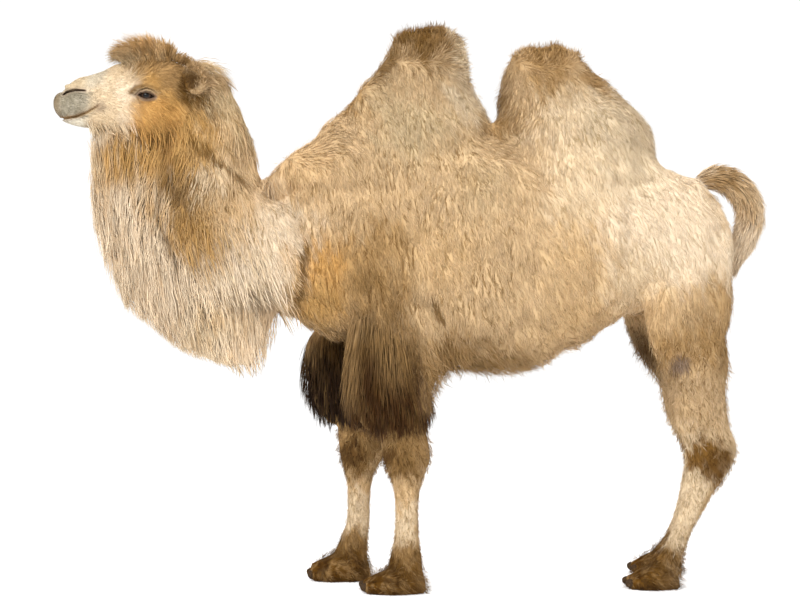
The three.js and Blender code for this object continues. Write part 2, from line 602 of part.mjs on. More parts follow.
for (const side of [LEFT, RIGHT]) {
  const name = side === LEFT ? 'left' : 'right';
  const earY = side * 118;
  parts.set(`ear_${name}`, clearOf(part(earField(side),
    [-920, earY - 50, 1850, -780, earY + 50, 2000], 10, 110), 'head', 'neck'));
  const step = side === RIGHT ? foreStep(800) : 0, y = side * 172;
  const hair = part(foreHairField(side), [-400 + step, y - 150, 540, 150 + step, y + 150, 1080],
    30, 110, side === LEFT ? block([-FAR, -FAR, 0], [FAR, -6, FAR]) : block([-FAR, 6, 0], [FAR, FAR, FAR]));
  parts.set(`forearm_hair_${name}`, clearOf(hair, `fore_leg_${name}_upper`, `fore_leg_${name}_lower`,
    'trunk'));
}
parts.set('beard', clearOf(part(beardField, [-1300, -150, 760, -400, 150, 1800], 34, 200),
  'neck', 'head', 'trunk', 'forearm_hair_left', 'forearm_hair_right'));
parts.set('topknot', clearOf(part(topknotField, [-1230, -100, 1930, -800, 100, 2150], 22, 100),
  'head', 'neck', 'ear_left', 'ear_right'));
parts.set('tail', clearOf(part(tailField, [1020, -80, 1190, 1420, 80, 1680], 20, 190),
  'trunk', 'hump_rear'));

// ---- the group ----------------------------------------------------------------------------
const coat = (color, roughness = 0.95) => ({ color, roughness, metalness: 0 });
const looks = [
  [/^eye/, coat(0x1c120c, 0.08)],
  [/nail/, coat(0x4b4036, 0.45)],
  [/foot/, coat(0x7a5a3c)],
  [/^forearm_hair/, coat(0x5b4433)],
  [/^topknot|^tail/, coat(0xa08058)],
  [/^beard/, coat(0xd6b988)],
  [/leg/, coat(0xc9a878)],
  [/./, coat(0xcdb088)],
];

const group = new THREE.Group();
group.name = 'bactrian_camel';
for (const [name, body] of parts) {
  const { vertProperties, triVerts } = body.getMesh();
  const geometry = new THREE.BufferGeometry();
  geometry.setAttribute('position', new THREE.BufferAttribute(Float32Array.from(vertProperties), 3));
  geometry.setIndex(new THREE.BufferAttribute(Uint32Array.from(triVerts), 1));
  geometry.computeVertexNormals();
  const look = looks.find(([test]) => test.test(name))[1];
  const mesh = new THREE.Mesh(geometry, new THREE.MeshStandardMaterial(look));
  mesh.name = name;
  group.add(mesh);
}

export default group;
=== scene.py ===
# %% [markdown]
# # A Bactrian camel in its winter coat
#
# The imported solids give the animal's outline, out to the tips of its hair. This script builds what
# the eye sees: one skin that lies under that outline by the depth of the coat, eyes and nails, and
# then the coat itself, as about 180,000 small solid tufts that grow out of the skin.
#
# Lengths in the shape tables are millimetres, as in the solids. Every mesh is turned to metres
# when it is made.

# %% The frame
import math
from concurrent.futures import ThreadPoolExecutor
import bpy
import numpy as np
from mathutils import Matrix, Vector


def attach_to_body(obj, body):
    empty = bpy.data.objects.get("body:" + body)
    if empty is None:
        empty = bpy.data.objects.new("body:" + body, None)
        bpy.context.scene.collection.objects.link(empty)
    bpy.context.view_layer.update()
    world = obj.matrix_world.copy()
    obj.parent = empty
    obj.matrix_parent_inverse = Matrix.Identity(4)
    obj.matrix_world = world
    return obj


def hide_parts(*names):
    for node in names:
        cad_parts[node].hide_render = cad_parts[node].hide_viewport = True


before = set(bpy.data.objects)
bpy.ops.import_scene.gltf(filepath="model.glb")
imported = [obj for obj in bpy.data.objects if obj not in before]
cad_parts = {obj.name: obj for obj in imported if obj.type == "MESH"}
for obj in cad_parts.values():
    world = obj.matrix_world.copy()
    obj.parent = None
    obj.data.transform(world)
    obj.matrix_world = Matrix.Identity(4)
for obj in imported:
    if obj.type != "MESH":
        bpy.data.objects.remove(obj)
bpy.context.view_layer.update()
NODES = sorted(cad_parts)
MM = 0.001
LEFT, RIGHT = -1, 1
SIDE_NAMES = {LEFT: "left", RIGHT: "right"}
DENSITY = 1.0

# %% [markdown]
# ## Fields
#
# A field gives, for many points at once, the distance to a surface: negative inside the body,
# positive outside. Fields are an easy way to model an animal, because two of them blend into one
# smooth form by a single formula, as flesh runs into flesh, and because the skin can be moved
# inward by adding to the distance.

# %% Sections that change along an axis
def spline(rows, s):
    """Values between rows [s, ...values] by a cubic that passes through each row."""
    rows = np.asarray(rows, float)
    knots, values = rows[:, 0], rows[:, 1:]
    slopes = np.zeros_like(values)
    slopes[1:-1] = (values[2:] - values[:-2]) / (knots[2:] - knots[:-2])[:, None]
    slopes[0] = (values[1] - values[0]) / (knots[1] - knots[0])
    slopes[-1] = (values[-1] - values[-2]) / (knots[-1] - knots[-2])
    s = np.clip(s, knots[0], knots[-1])
    i = np.clip(np.searchsorted(knots, s, side="right") - 1, 0, len(knots) - 2)
    width = (knots[i + 1] - knots[i])[:, None]
    t = (s - knots[i])[:, None] / width
    return ((1 + 2 * t) * (1 - t) ** 2 * values[i] + t * t * (3 - 2 * t) * values[i + 1]
            + width * (t * (1 - t) ** 2 * slopes[i] + t * t * (t - 1) * slopes[i + 1]))


FAR = 110.0  # mm: surfaces further off than this don't touch, so their distance needn't be exact
LOFT_STEPS = 160
BEND_STEPS = 8  # straight pieces of a cord, for each point of it


def near(field, low, high):
    """The field inside a box grown by FAR, and the constant FAR outside it, to save time."""
    low, high = np.array(low) - FAR, np.array(high) + FAR

    def quick(p):
        close = np.all((p > low) & (p < high), axis=1)
        result = np.full(len(p), FAR)
        if close.any():
            result[close] = field(p[close])
        return result
    return quick


def rounded(u, v, t, a, b, c, power):
    """Distance to a rounded form with half sizes a, b and c."""
    pu, pv, pt = np.abs(u) / a, np.abs(v) / b, np.abs(t) / c
    k = np.maximum((pu ** power + pv ** power + pt ** power) ** (1 / power), 1e-3)
    lean = power - 1
    rate = np.sqrt((pu ** lean / a) ** 2 + (pv ** lean / b) ** 2 + (pt ** lean / c) ** 2) * k ** -lean
    return (k - 1) / np.maximum(rate, 1e-4)


def loft(axis, rows, caps=(40, 40), power=2.2, crest=0.5):
    """A body whose section changes along X (0) or Z (2). Rows are [s, low, high, side, half]."""
    rows = np.array(rows, float)
    first, last = rows[0, 0], rows[-1, 0]
    steps = np.linspace(first, last, LOFT_STEPS)
    table = spline(rows, steps)
    across = 2 - axis

    def field(p):
        s, u = p[:, axis], p[:, across]
        low, high, side, half = (np.interp(s, steps, table[:, c]) for c in range(4))
        middle = low + crest * (high - low)
        over = np.where(s < first, s - first, np.maximum(s - last, 0))
        reach = np.where(u > middle, high - middle, middle - low)
        return rounded(u - middle, p[:, 1] - side, over, reach, half,
                       np.where(over < 0, caps[0], caps[1]), power)
    low, high = np.zeros(3), np.zeros(3)
    low[axis], high[axis] = first - caps[0], last + caps[1]
    low[across], high[across] = table[:, 0].min(), table[:, 1].max()
    low[1], high[1] = (table[:, 2] - table[:, 3]).min(), (table[:, 2] + table[:, 3]).max()
    return near(field, low, high)


def cord(points, squash=1.0):
    """A round body along points [x, y, z, radius], flattened across the middle by squash."""
    rows = np.array([[i, *p] for i, p in enumerate(points)], float)
    path = spline(rows, np.linspace(0, len(points) - 1, BEND_STEPS * len(points)))

    def field(p):
        best = np.full(len(p), 1e9)
        for a, b in zip(path[:-1], path[1:]):
            d = b - a
            along = (p[:, 0] - a[0]) * d[0] + (p[:, 2] - a[2]) * d[2]
            t = np.clip(along / (d[0] ** 2 + d[2] ** 2), 0, 1)
            gap = p - a[:3] - t[:, None] * d[:3]
            gap[:, 1] /= squash
            best = np.minimum(best, np.sqrt((gap ** 2).sum(1)) - a[3] - t * d[3])
        return best
    most = path[:, 3].max()
    return near(field, path[:, :3].min(0) - most, path[:, :3].max(0) + most)


def blob(centre, radii, turn=0.0, power=2.0):
    """An ellipsoid that leans by a turn about Y, in degrees."""
    c, s = math.cos(math.radians(turn)), math.sin(math.radians(turn))

    def field(p):
        d = p - np.array(centre)
        return rounded(c * d[:, 0] - s * d[:, 2], d[:, 1], s * d[:, 0] + c * d[:, 2], *radii, power)
    most = max(radii)
    return near(field, np.array(centre) - most, np.array(centre) + most)


# %% Joining and carving
def smooth_min(a, b, blend):
    """The smaller of two distances, rounded where they differ by less than blend."""
    h = np.maximum(blend - np.abs(a - b), 0) / blend
    return np.minimum(a, b) - h * h * blend / 4


def join(blend, *fields):
    """One field for several bodies that run into each other."""
    def field(p):
        total = fields[0](p)
        for other in fields[1:]:
            total = smooth_min(total, other(p), blend)
        return total
    return field


def carve(blend, field, *tools):
    """A field with the bodies of the tools taken away from it."""
    def cut(p):
        total = field(p)
        for tool in tools:
            total = -smooth_min(-total, tool(p), blend)
        return total
    return cut


def fade(start, end, value):
    """0 at start, 1 at end, with soft ends. start may be above end."""
    t = np.clip((value - start) / (end - start), 0, 1)
    return t * t * (3 - 2 * t)


def both(make):
    return [make(LEFT), make(RIGHT)]


# %% [markdown]
# ## The body's masses
#
# A camel carries a deep narrow trunk on long legs set close together. The two humps are fat, not
# bone, so they are upright and thin from side to side. The neck leaves the chest low, sweeps down
# and rises again to a head held level. The tables give the extents of each section in side view,
# where it is centred across the animal, and its half width.

# %% Trunk, humps and neck
trunk = loft(0, [
    [-470, 1026, 1560, 0, 185], [-330, 950, 1640, 0, 228], [-120, 900, 1690, 0, 262],
    [80, 846, 1712, 0, 300], [300, 820, 1735, 0, 330], [470, 842, 1722, 0, 328],
    [565, 896, 1708, 0, 318], [650, 930, 1690, 0, 303], [730, 984, 1676, 0, 290],
    [810, 1030, 1660, 0, 275], [960, 1080, 1620, 0, 252], [1080, 1136, 1586, 0, 222],
    [1150, 1190, 1532, 0, 185]], caps=(95, 66), power=2.3, crest=0.42)
chest_pad = blob((-150, 0, 902), (120, 78, 32), power=2.6)
hump_front = loft(2, [
    [1560, -598, 330, 0, 205], [1640, -519, 330, 0, 196], [1716, -411, 326, 0, 180],
    [1793, -333, 302, 0, 160], [1870, -261, 248, 0, 138], [1948, -194, 213, 0, 120],
    [2025, -138, 206, 0, 105], [2085, -98, 190, 0, 94]], caps=(80, 73), power=2.15)
hump_rear = loft(2, [
    [1580, 300, 985, 0, 232], [1660, 304, 948, 0, 222], [1740, 306, 934, 0, 206],
    [1810, 312, 901, 0, 186], [1880, 313, 822, 0, 160], [1945, 324, 752, 0, 136],
    [1995, 342, 696, 0, 116], [2030, 366, 656, 0, 102]], caps=(80, 57), power=2.2)
neck = loft(2, [
    [1190, -880, -330, 0, 165], [1310, -975, -360, 0, 172], [1400, -985, -440, 0, 166],
    [1500, -960, -560, 0, 150], [1600, -950, -604, 0, 138], [1700, -955, -626, 0, 126],
    [1790, -950, -655, 0, 114], [1870, -920, -681, 0, 104], [1930, -880, -700, 0, 92]],
    caps=(90, 50), power=2.2)

# %% [markdown]
# ## Legs
#
# The right fore foot stands ahead of the left and the right hind foot behind it, so one table
# serves both sides and a step, growing from shoulder or hip to foot, carries the right leg along.
# A camel walks on a broad pad with two toes, not on hooves.

# %% Legs and feet
FAR_FORE_STEP, FAR_HIND_STEP = -182.0, 97.0
STEP_TOP = 1300  # the height from which a right leg begins to leave the place of the left one
FOOT_LEVEL = 20.0  # the height at which the step of a foot is taken
MIDDLE_X = 350  # fore legs stand in front of it, hind legs behind


def falling(z, top, bottom):
    """0 above top, growing evenly to 1 at bottom."""
    return np.clip((top - z) / (top - bottom), 0, 1)


def fore_step(z):
    return FAR_FORE_STEP * (0.76 * falling(z, STEP_TOP, 900) + 0.1 * falling(z, 560, 400)
                            + 0.14 * falling(z, 240, 120))


def hind_step(z):
    return FAR_HIND_STEP * (0.45 * falling(z, 960, 800) + 0.14 * falling(z, 760, 640)
                            + 0.3 * falling(z, 570, 470) + 0.11 * falling(z, 300, 60))


def shifted(rows, side, step):
    """Rows [z, front, back, y, half] of a leg, carried to its side and along by its step."""
    move = (lambda z: float(step(z))) if side == RIGHT else (lambda z: 0.0)
    return [[z, front + move(z), back + move(z), side * y, half] for z, front, back, y, half in rows]


def foot(rows, side, step, cleft_x):
    """A pad with two toes. Rows are [x, low, high, y, half]."""
    move = float(step(FOOT_LEVEL)) if side == RIGHT else 0.0
    y = rows[0][3]
    pad = loft(0, [[x + move, low, high, side * y, half] for x, low, high, y, half in rows],
               caps=(24, 34), power=2.4)
    return carve(10, pad, blob((cleft_x + move, side * y, 26), (46, 7, 60), turn=-30))


FORE_Y, HIND_Y = 152.0, 168.0


def fore_leg(side):
    shank = loft(2, shifted([
        [62, -128, 14, FORE_Y, 62], [110, -126, 12, FORE_Y, 54], [160, -114, 4, FORE_Y, 44],
        [220, -103, -2, FORE_Y, 39], [340, -101, -3, 150, 39], [405, -111, 8, 148, 44],
        [450, -130, 26, 146, 56], [500, -148, 45, 145, 66], [550, -158, 42, 147, 66],
        [620, -166, 30, 152, 66], [720, -176, 44, 160, 80], [840, -205, 92, 168, 96],
        [980, -250, 150, 165, 105], [1150, -290, 190, 150, 100], [1300, -270, 170, 130, 95]],
        side, fore_step), caps=(30, 120), power=2.1)
    rise = 14 if side == RIGHT else 0  # the toes of the foot that is stepping forward
    pad = foot([[-200, -22, 58 + rise, FORE_Y, 62], [-160, -50, 76 + rise, FORE_Y, 82],
                [-110, -64, 94 + rise, FORE_Y, 90], [-50, -64, 96, FORE_Y, 88],
                [-8, -62, 72, FORE_Y, 74]], side, fore_step, -218)
    return join(22, shank, pad)


def hind_leg(side):
    shank = loft(2, shifted([
        [62, 872, 1000, HIND_Y, 58], [95, 884, 1006, HIND_Y, 50], [144, 924, 1024, HIND_Y, 40],
        [216, 962, 1051, 166, 36], [308, 991, 1106, 163, 37], [360, 1000, 1137, 161, 40],
        [411, 1011, 1178, 160, 45], [470, 1014, 1214, 160, 50], [525, 1010, 1231, 160, 52],
        [565, 1001, 1222, 162, 54], [620, 974, 1200, 166, 60], [700, 962, 1186, 174, 74],
        [770, 956, 1180, 182, 88], [840, 922, 1182, 190, 102], [930, 876, 1184, 190, 112],
        [1030, 854, 1196, 182, 118], [1150, 862, 1214, 168, 118], [1280, 880, 1216, 145, 112],
        [1380, 920, 1190, 125, 100]], side, hind_step), caps=(30, 90), power=2.15)
    pad = foot([[812, -22, 56, HIND_Y, 56], [846, -50, 75, HIND_Y, 76], [885, -64, 88, HIND_Y, 82],
                [935, -64, 90, HIND_Y, 78], [968, -62, 66, HIND_Y, 64]], side, hind_step, 800)
    return join(22, shank, pad)


fore_legs, hind_legs = both(fore_leg), both(hind_leg)
print("masses: trunk, two humps, neck, four legs")

# %% [markdown]
# ## Head
#
# A long wedge of a head: broad at the eyes, narrow and deep at the muzzle, with a split upper lip,
# slit nostrils that can close, and a hanging lower lip. The orbits stand out at the sides, so the
# eyes look sideways from under a heavy brow.

# %% Head, ears and tail
EYE, EYE_RADIUS = (-1028.0, 83.0, 1871.0), 27.0


def eye_centre(side):
    return (EYE[0], side * EYE[1], EYE[2])


skull = loft(0, [
    [-1345, 1802, 1886, 0, 42], [-1318, 1784, 1921, 0, 55], [-1285, 1769, 1944, 0, 62],
    [-1245, 1759, 1955, 0, 63], [-1195, 1752, 1974, 0, 63], [-1140, 1735, 2002, 0, 69],
    [-1080, 1714, 2020, 0, 84], [-1020, 1698, 2032, 0, 98], [-950, 1694, 2026, 0, 106],
    [-890, 1716, 2004, 0, 100], [-840, 1760, 1978, 0, 86]], caps=(32, 50), power=2.25)
orbits = both(lambda side: blob((EYE[0] - 4, side * 78, EYE[2] + 20), (60, 34, 24), turn=8))
cheeks = both(lambda side: blob((-985, side * 70, 1795), (88, 42, 66), turn=-24))
lower_lip = blob((-1290, 0, 1784), (62, 44, 20), turn=9)
upper_lips = both(lambda side: blob((-1318, side * 26, 1842), (50, 32, 42), turn=22))
sockets = both(lambda side: blob((EYE[0], side * 103, EYE[2]), (31, 26, 20), turn=6))


def near_line(p, points, wide=False):
    """Distance in side view from a line of points [x, z] or, if wide, [x, z, half width]."""
    x, z = p[:, 0], p[:, 2]
    best = np.full(len(p), 1e3)
    for a, b in zip(points[:-1], points[1:]):
        dx, dz = b[0] - a[0], b[1] - a[1]
        t = np.clip(((x - a[0]) * dx + (z - a[1]) * dz) / (dx * dx + dz * dz), 0, 1)
        half = a[2] + t * (b[2] - a[2]) if wide else 0
        best = np.minimum(best, np.hypot(x - a[0] - t * dx, z - a[1] - t * dz) - half)
    return best


GROOVE_REACH_X, GROOVE_REACH_Z = 130, 90  # how far from its middle a groove is worked out
OFF_CENTRE = 14  # a groove on one side keeps this far from the middle of the head


def groove(points, depth, side=0):
    """A tool that cuts along a line in side view, only so deep below a given surface value."""
    points = np.array(points, float)
    middle_x, middle_z = points[:, 0].mean(), points[:, 1].mean()

    def field(p, surface):
        best = np.full(len(p), FAR)
        close = np.abs(p[:, 0] - middle_x) < GROOVE_REACH_X
        close &= np.abs(p[:, 2] - middle_z) < GROOVE_REACH_Z
        close &= (side == 0) | (side * p[:, 1] > OFF_CENTRE)
        line = np.minimum(near_line(p[close], points, wide=True), FAR)
        best[close] = np.maximum(line, -surface[close] - depth)
        return best
    return field


bare_head = join(30, skull, *orbits, *cheeks, lower_lip, *upper_lips)
#  x, z, half width of the groove
MOUTH = [[-1368, 1791, 3], [-1330, 1789, 3.4], [-1296, 1793, 3.4], [-1250, 1810, 3],
         [-1208, 1836, 1.5]]
NOSTRIL = [[-1338, 1876, 3], [-1322, 1887, 5], [-1294, 1893, 5], [-1256, 1891, 2]]
lip_cleft = blob((-1384, 0, 1838), (17, 4.5, 36))
nostril_wings = both(lambda side: blob((-1292, side * 44, 1900), (44, 20, 14), turn=12))


def ear(side):
    shell = blob((-846, side * 118, 1926), (44, 24, 54), turn=-12, power=2.2)
    return carve(5, shell, blob((-856, side * 143, 1930), (27, 20, 38), turn=-12))


ears = both(ear)
TAIL_SQUASH = 0.82
TAIL = [[1095, 0, 1556, 44], [1180, 0, 1580, 58], [1258, 0, 1554, 62], [1310, -4, 1488, 62],
        [1322, -8, 1414, 59], [1300, -12, 1342, 53], [1270, -14, 1276, 38], [1256, -14, 1236, 20]]
tail = cord(TAIL, squash=TAIL_SQUASH)

# %% [markdown]
# ## Long hair
#
# The beard hangs from the jaw and the whole front of the neck. Both forearms carry a dark skirt of
# hair, and a bushy tuft stands on the crown. Each has a table for its outline. The skin swells
# only into the core of that form, and strands fill the rest.

# %% Outlines of the long hair
BEARD = [[834, -716, -592, 0, 34], [872, -838, -575, 0, 46], [910, -908, -560, 0, 56],
         [960, -968, -530, 0, 68], [1020, -1048, -500, 0, 80], [1103, -1136, -480, 0, 94],
         [1236, -1193, -520, 0, 108], [1369, -1219, -600, 0, 108], [1482, -1238, -700, 0, 100],
         [1580, -1243, -760, 0, 92], [1680, -1246, -800, 0, 80], [1725, -1254, -850, 0, 70]]
TOPKNOT = [[-1166, 1982, 2080, 0, 40], [-1135, 1975, 2110, 0, 54], [-1090, 1975, 2124, 0, 62],
           [-1030, 1975, 2119, 0, 68], [-970, 1970, 2087, 0, 70], [-910, 1960, 2054, 0, 68],
           [-855, 1950, 2026, 0, 58]]


def cuff_rows(side):
    t = 1 if side == RIGHT else 0
    return shifted([[628, -262 + 22 * t, 34, 162, 92], [690, -302 + 14 * t, 84, 166, 112],
                    [770, -316 + 4 * t, 58, 172, 124], [850, -318 - 8 * t, 44, 176, 126],
                    [930, -316 - 12 * t, 52, 176, 118], [1020, -300, 52, 166, 100]], side, fore_step)


beard = loft(2, BEARD, caps=(42, 48), power=2.1)
topknot = loft(0, TOPKNOT, caps=(26, 32), power=2.1)
cuffs = both(lambda side: loft(2, cuff_rows(side), caps=(52, 50), power=2.3))

# %% The body's outline, and places on it
body = join(50, join(90, join(26, trunk, chest_pad), neck), join(30, hump_front, hump_rear),
            *fore_legs, *hind_legs)


def own_x(p):
    """X as if all four legs stood under the body, for tables that serve both sides."""
    x, y, z = p[:, 0], p[:, 1], p[:, 2]
    moved = np.where(x < MIDDLE_X, fore_step(z), hind_step(z))
    return x - np.where((y > 0) & (z < STEP_TOP), moved, 0)


def past_line(x, z, a, b):
    """How far a point in side view lies to the left of the line from a to b."""
    ax, az = b[0] - a[0], b[1] - a[1]
    return (ax * (z - a[1]) - az * (x - a[0])) / math.hypot(ax, az)


def head_share(p):
    """0 behind the line from poll to throat, 1 well in front of it."""
    return fade(-25, 35, past_line(p[:, 0], p[:, 2], (-925, 1680), (-800, 2010)))


# %% [markdown]
# ## Grooming
#
# One table says how the coat lies. Each row is a place in side view with its reach, then the
# direction of the hair in degrees (0 is toward the tail, 90 up, -90 down), its length, how deep
# the coat stands over the skin, how steeply the hair rises from the skin (0 flat, 1 straight out)
# and how wide a tuft is. Values between places blend. The last four are then scaled as one, so
# that the whole coat can be made shorter, flatter or finer.

# %% The grooming table
#  x, z, reach, direction, length, depth, rise, width
GROOMING = np.array([
    [-1335, 1880, 34, 10, 7, 1.5, 0.10, 1.5], [-1330, 1815, 34, -20, 7, 1.5, 0.10, 1.5],
    [-1270, 1940, 40, 8, 11, 2.5, 0.12, 2.1], [-1240, 1860, 44, 4, 13, 3, 0.14, 2.3],
    [-1250, 1780, 40, -14, 13, 3, 0.18, 2.3], [-1160, 1985, 44, 14, 16, 5, 0.2, 3],
    [-1130, 1880, 56, 2, 17, 4, 0.16, 2.7], [-1130, 1770, 56, -20, 24, 8, 0.25, 3.2],
    [-1028, 1905, 30, 4, 12, 3, 0.16, 2.2], [-1028, 1840, 30, -12, 13, 3.5, 0.16, 2.2],
    [-960, 1880, 50, -22, 34, 7, 0.45, 3.8], [-990, 1770, 66, -50, 52, 11, 0.5, 5],
    [-1040, 1700, 60, -80, 60, 18, 0.35, 6], [-1080, 2000, 40, 70, 60, 12, 1, 5],
    [-1000, 2015, 50, 60, 56, 12, 0.9, 5], [-900, 1960, 50, -20, 34, 13, 0.3, 4.5],
    [-880, 1820, 60, -60, 44, 18, 0.3, 5.4], [-760, 1980, 80, -20, 56, 30, 0.36, 6.6],
    [-680, 1860, 90, -74, 62, 32, 0.34, 7], [-860, 1680, 100, -84, 64, 28, 0.34, 7],
    [-650, 1680, 100, -80, 66, 32, 0.34, 7.2], [-760, 1500, 120, -78, 60, 30, 0.36, 7],
    [-560, 1560, 100, -60, 64, 30, 0.32, 7.4], [-760, 1300, 130, -70, 62, 30, 0.38, 7],
    [-560, 1330, 120, -62, 58, 28, 0.3, 7.2], [-600, 1120, 110, -66, 66, 30, 0.35, 7],
    [-380, 1100, 100, -72, 54, 26, 0.26, 7], [-330, 1450, 140, -76, 48, 26, 0.22, 7],
    [-300, 1250, 120, -82, 46, 22, 0.22, 7], [-420, 1720, 90, 10, 56, 28, 0.4, 7.4],
    [-200, 1800, 100, -56, 46, 26, 0.3, 6.8], [0, 1880, 110, -74, 44, 26, 0.26, 6.6],
    [-260, 1960, 70, 60, 44, 26, 0.55, 6], [0, 2110, 90, 84, 46, 26, 1.1, 4.8],
    [200, 2040, 70, 10, 46, 26, 0.9, 5.2], [265, 1880, 60, -30, 46, 26, 0.8, 5.4],
    [300, 1720, 80, -40, 50, 26, 0.4, 7], [330, 1900, 60, -150, 46, 26, 0.85, 5.4],
    [400, 1840, 70, -120, 44, 26, 0.4, 6.4], [520, 1900, 120, -74, 44, 26, 0.26, 6.8],
    [520, 2060, 90, 86, 44, 24, 1.1, 4.8], [740, 1960, 80, 10, 46, 26, 0.45, 6.4],
    [900, 1800, 100, -46, 48, 26, 0.3, 7], [-60, 1450, 200, -78, 44, 25, 0.2, 7],
    [250, 1450, 200, -76, 44, 25, 0.2, 7], [560, 1400, 180, -72, 44, 25, 0.2, 7],
    [0, 1100, 160, -80, 46, 26, 0.24, 7.2], [300, 1050, 160, -76, 48, 27, 0.26, 7.4],
    [560, 1080, 140, -66, 50, 27, 0.28, 7.4], [300, 850, 90, -50, 84, 34, 1.1, 6.6],
    [60, 870, 90, -56, 80, 32, 1.1, 6.6], [560, 900, 80, -34, 70, 30, 0.7, 7.2],
    [-200, 900, 100, -60, 52, 22, 0.3, 7], [820, 1560, 150, -60, 42, 22, 0.2, 6.8],
    [1010, 1500, 130, -72, 40, 20, 0.2, 6.6], [860, 1250, 150, -66, 38, 18, 0.2, 6.4],
    [1090, 1250, 130, -84, 38, 18, 0.22, 6.4], [960, 1020, 130, -80, 42, 15, 0.45, 6.6],
    [1150, 1020, 110, -94, 42, 15, 0.55, 6.6], [1030, 820, 100, -84, 40, 13, 0.75, 6.4],
    [900, 840, 80, -80, 66, 14, 0.9, 6.6], [1100, 640, 80, -84, 38, 10, 0.8, 6.2],
    [1180, 560, 60, -76, 34, 8, 0.8, 6], [1120, 455, 56, -80, 38, 8, 1, 6],
    [1050, 350, 60, -84, 26, 6, 0.5, 5], [1010, 240, 70, -86, 26, 6, 0.5, 5],
    [960, 110, 46, -86, 46, 8, 1.1, 5], [880, 50, 60, -34, 34, 5, 1.2, 4.6],
    [-170, 1050, 110, -80, 44, 20, 0.24, 6.4], [-120, 800, 100, -90, 40, 14, 0.6, 6.4],
    [-60, 640, 60, -88, 38, 10, 0.8, 6.2], [-55, 500, 56, -88, 38, 8, 1, 6],
    [-50, 350, 80, -90, 26, 6, 0.5, 5], [-52, 180, 60, -86, 28, 6, 0.6, 5],
    [-60, 105, 40, -80, 46, 8, 1.1, 5], [-150, 50, 60, -30, 34, 5, 1.2, 4.6],
    [1290, 1480, 60, -76, 60, 26, 0.34, 6.6], [1180, 1590, 60, -20, 56, 26, 0.34, 6.6]])


GROOM_SCALE = (0.86, 1.0, 0.6, 0.46)  # for length, depth, rise and width
THICK_COAT = 8  # mm: of a coat deeper than this, only half of the rest counts
GROOM_POWER = 3.0  # how sharply a place gives way to its neighbours

MAP_LOW, MAP_STEP, MAP_SIZE = np.array([-1420.0, -20.0]), 8.0, (357, 280)


def side_map(places):
    """Places (x, z, reach, power, values) blended on a fine map of the side view."""
    xs, zs = (low + MAP_STEP * np.arange(size) for low, size in zip(MAP_LOW, MAP_SIZE))
    x, z = np.meshgrid(xs, zs, indexing="ij")
    total, weights = 0.0, 0.0
    for px, pz, reach, power, values in places:
        w = (1 + ((x - px) ** 2 + (z - pz) ** 2) / reach ** 2) ** -power
        total = total + w[..., None] * np.array(values)
        weights = weights + w
    return total / weights[..., None]


def look_up(table, x, z):
    """Values of a side map at places in side view."""
    at = (np.stack([x, z], axis=1) - MAP_LOW) / MAP_STEP
    at = np.clip(at, 0, np.array(table.shape[:2]) - 1.001)
    i, j = at.astype(int).T
    u, v = (at - np.floor(at)).T[:, :, None]
    return ((table[i, j] * (1 - u) + table[i + 1, j] * u) * (1 - v)
            + (table[i, j + 1] * (1 - u) + table[i + 1, j + 1] * u) * v)


def grooming_map():
    """The grooming table as a side map, with each direction as a vector."""
    table = side_map([(x, z, reach, GROOM_POWER,
                       (math.cos(math.radians(angle)), math.sin(math.radians(angle)), *values))
                      for x, z, reach, angle, *values in GROOMING])
    table[..., 2:] *= GROOM_SCALE
    depth = table[..., 3]
    table[..., 3] = np.where(depth > THICK_COAT, THICK_COAT + 0.5 * (depth - THICK_COAT), depth)
    return table


GROOM_MAP = grooming_map()


def groom(p):
    """Grooming at points: direction as a vector in side view, then length, depth, rise, width."""
    return look_up(GROOM_MAP, own_x(p), p[:, 2])


# %% [markdown]
# ## Ripples
#
# A coat is never even: locks gather into clumps, with dark clefts between them. A ripple is a sum
# of waves with seeded directions, stretched along the lie of the hair. Its zero lines are the
# clefts, and its slope tells hair which way to lean.

# %% Ripples
def ripple(p, along, across, seed, waves=14, lean=-80):
    """A smooth wavy value, mostly between -1 and 1, and its slope. Lengths are wavelengths in mm."""
    rng = np.random.default_rng(seed)
    value, slope = np.zeros(len(p)), np.zeros((len(p), 3))
    lean = math.radians(lean)
    axes = np.array([[math.cos(lean), 0, math.sin(lean)], [0, 1, 0],
                     [-math.sin(lean), 0, math.cos(lean)]])
    for _ in range(waves):
        k = rng.normal(size=3) * (1 / along, 1 / across, 1 / across) * 2 * math.pi * 0.75
        k = k @ axes
        phase = rng.uniform(0, 2 * math.pi)
        angle = p @ k + phase
        value += np.sin(angle)
        slope += np.cos(angle)[:, None] * k
    scale = math.sqrt(2 / waves)
    return value * scale, slope * scale


CLEFT_WIDTH = 0.105  # as a share of the distance from cleft to cleft


def clefts(p, along, across, seed, lean):
    """How deep in a cleft each point lies and how near one, both 0 to 1, and the way across it."""
    value, slope = ripple(p, along, across, seed, 14, lean)
    steep = np.linalg.norm(slope, axis=1) + 1e-6
    off = np.abs(value) / steep
    broken = fade(-0.5, 0.5, ripple(p, 0.65 * along, 1.5 * across, seed + 1, 8)[0])
    deep = np.exp(-(off / (CLEFT_WIDTH * across)) ** 2) * broken
    close = fade(0.5 * across, 0.15 * across, off) * broken
    return deep, close, slope


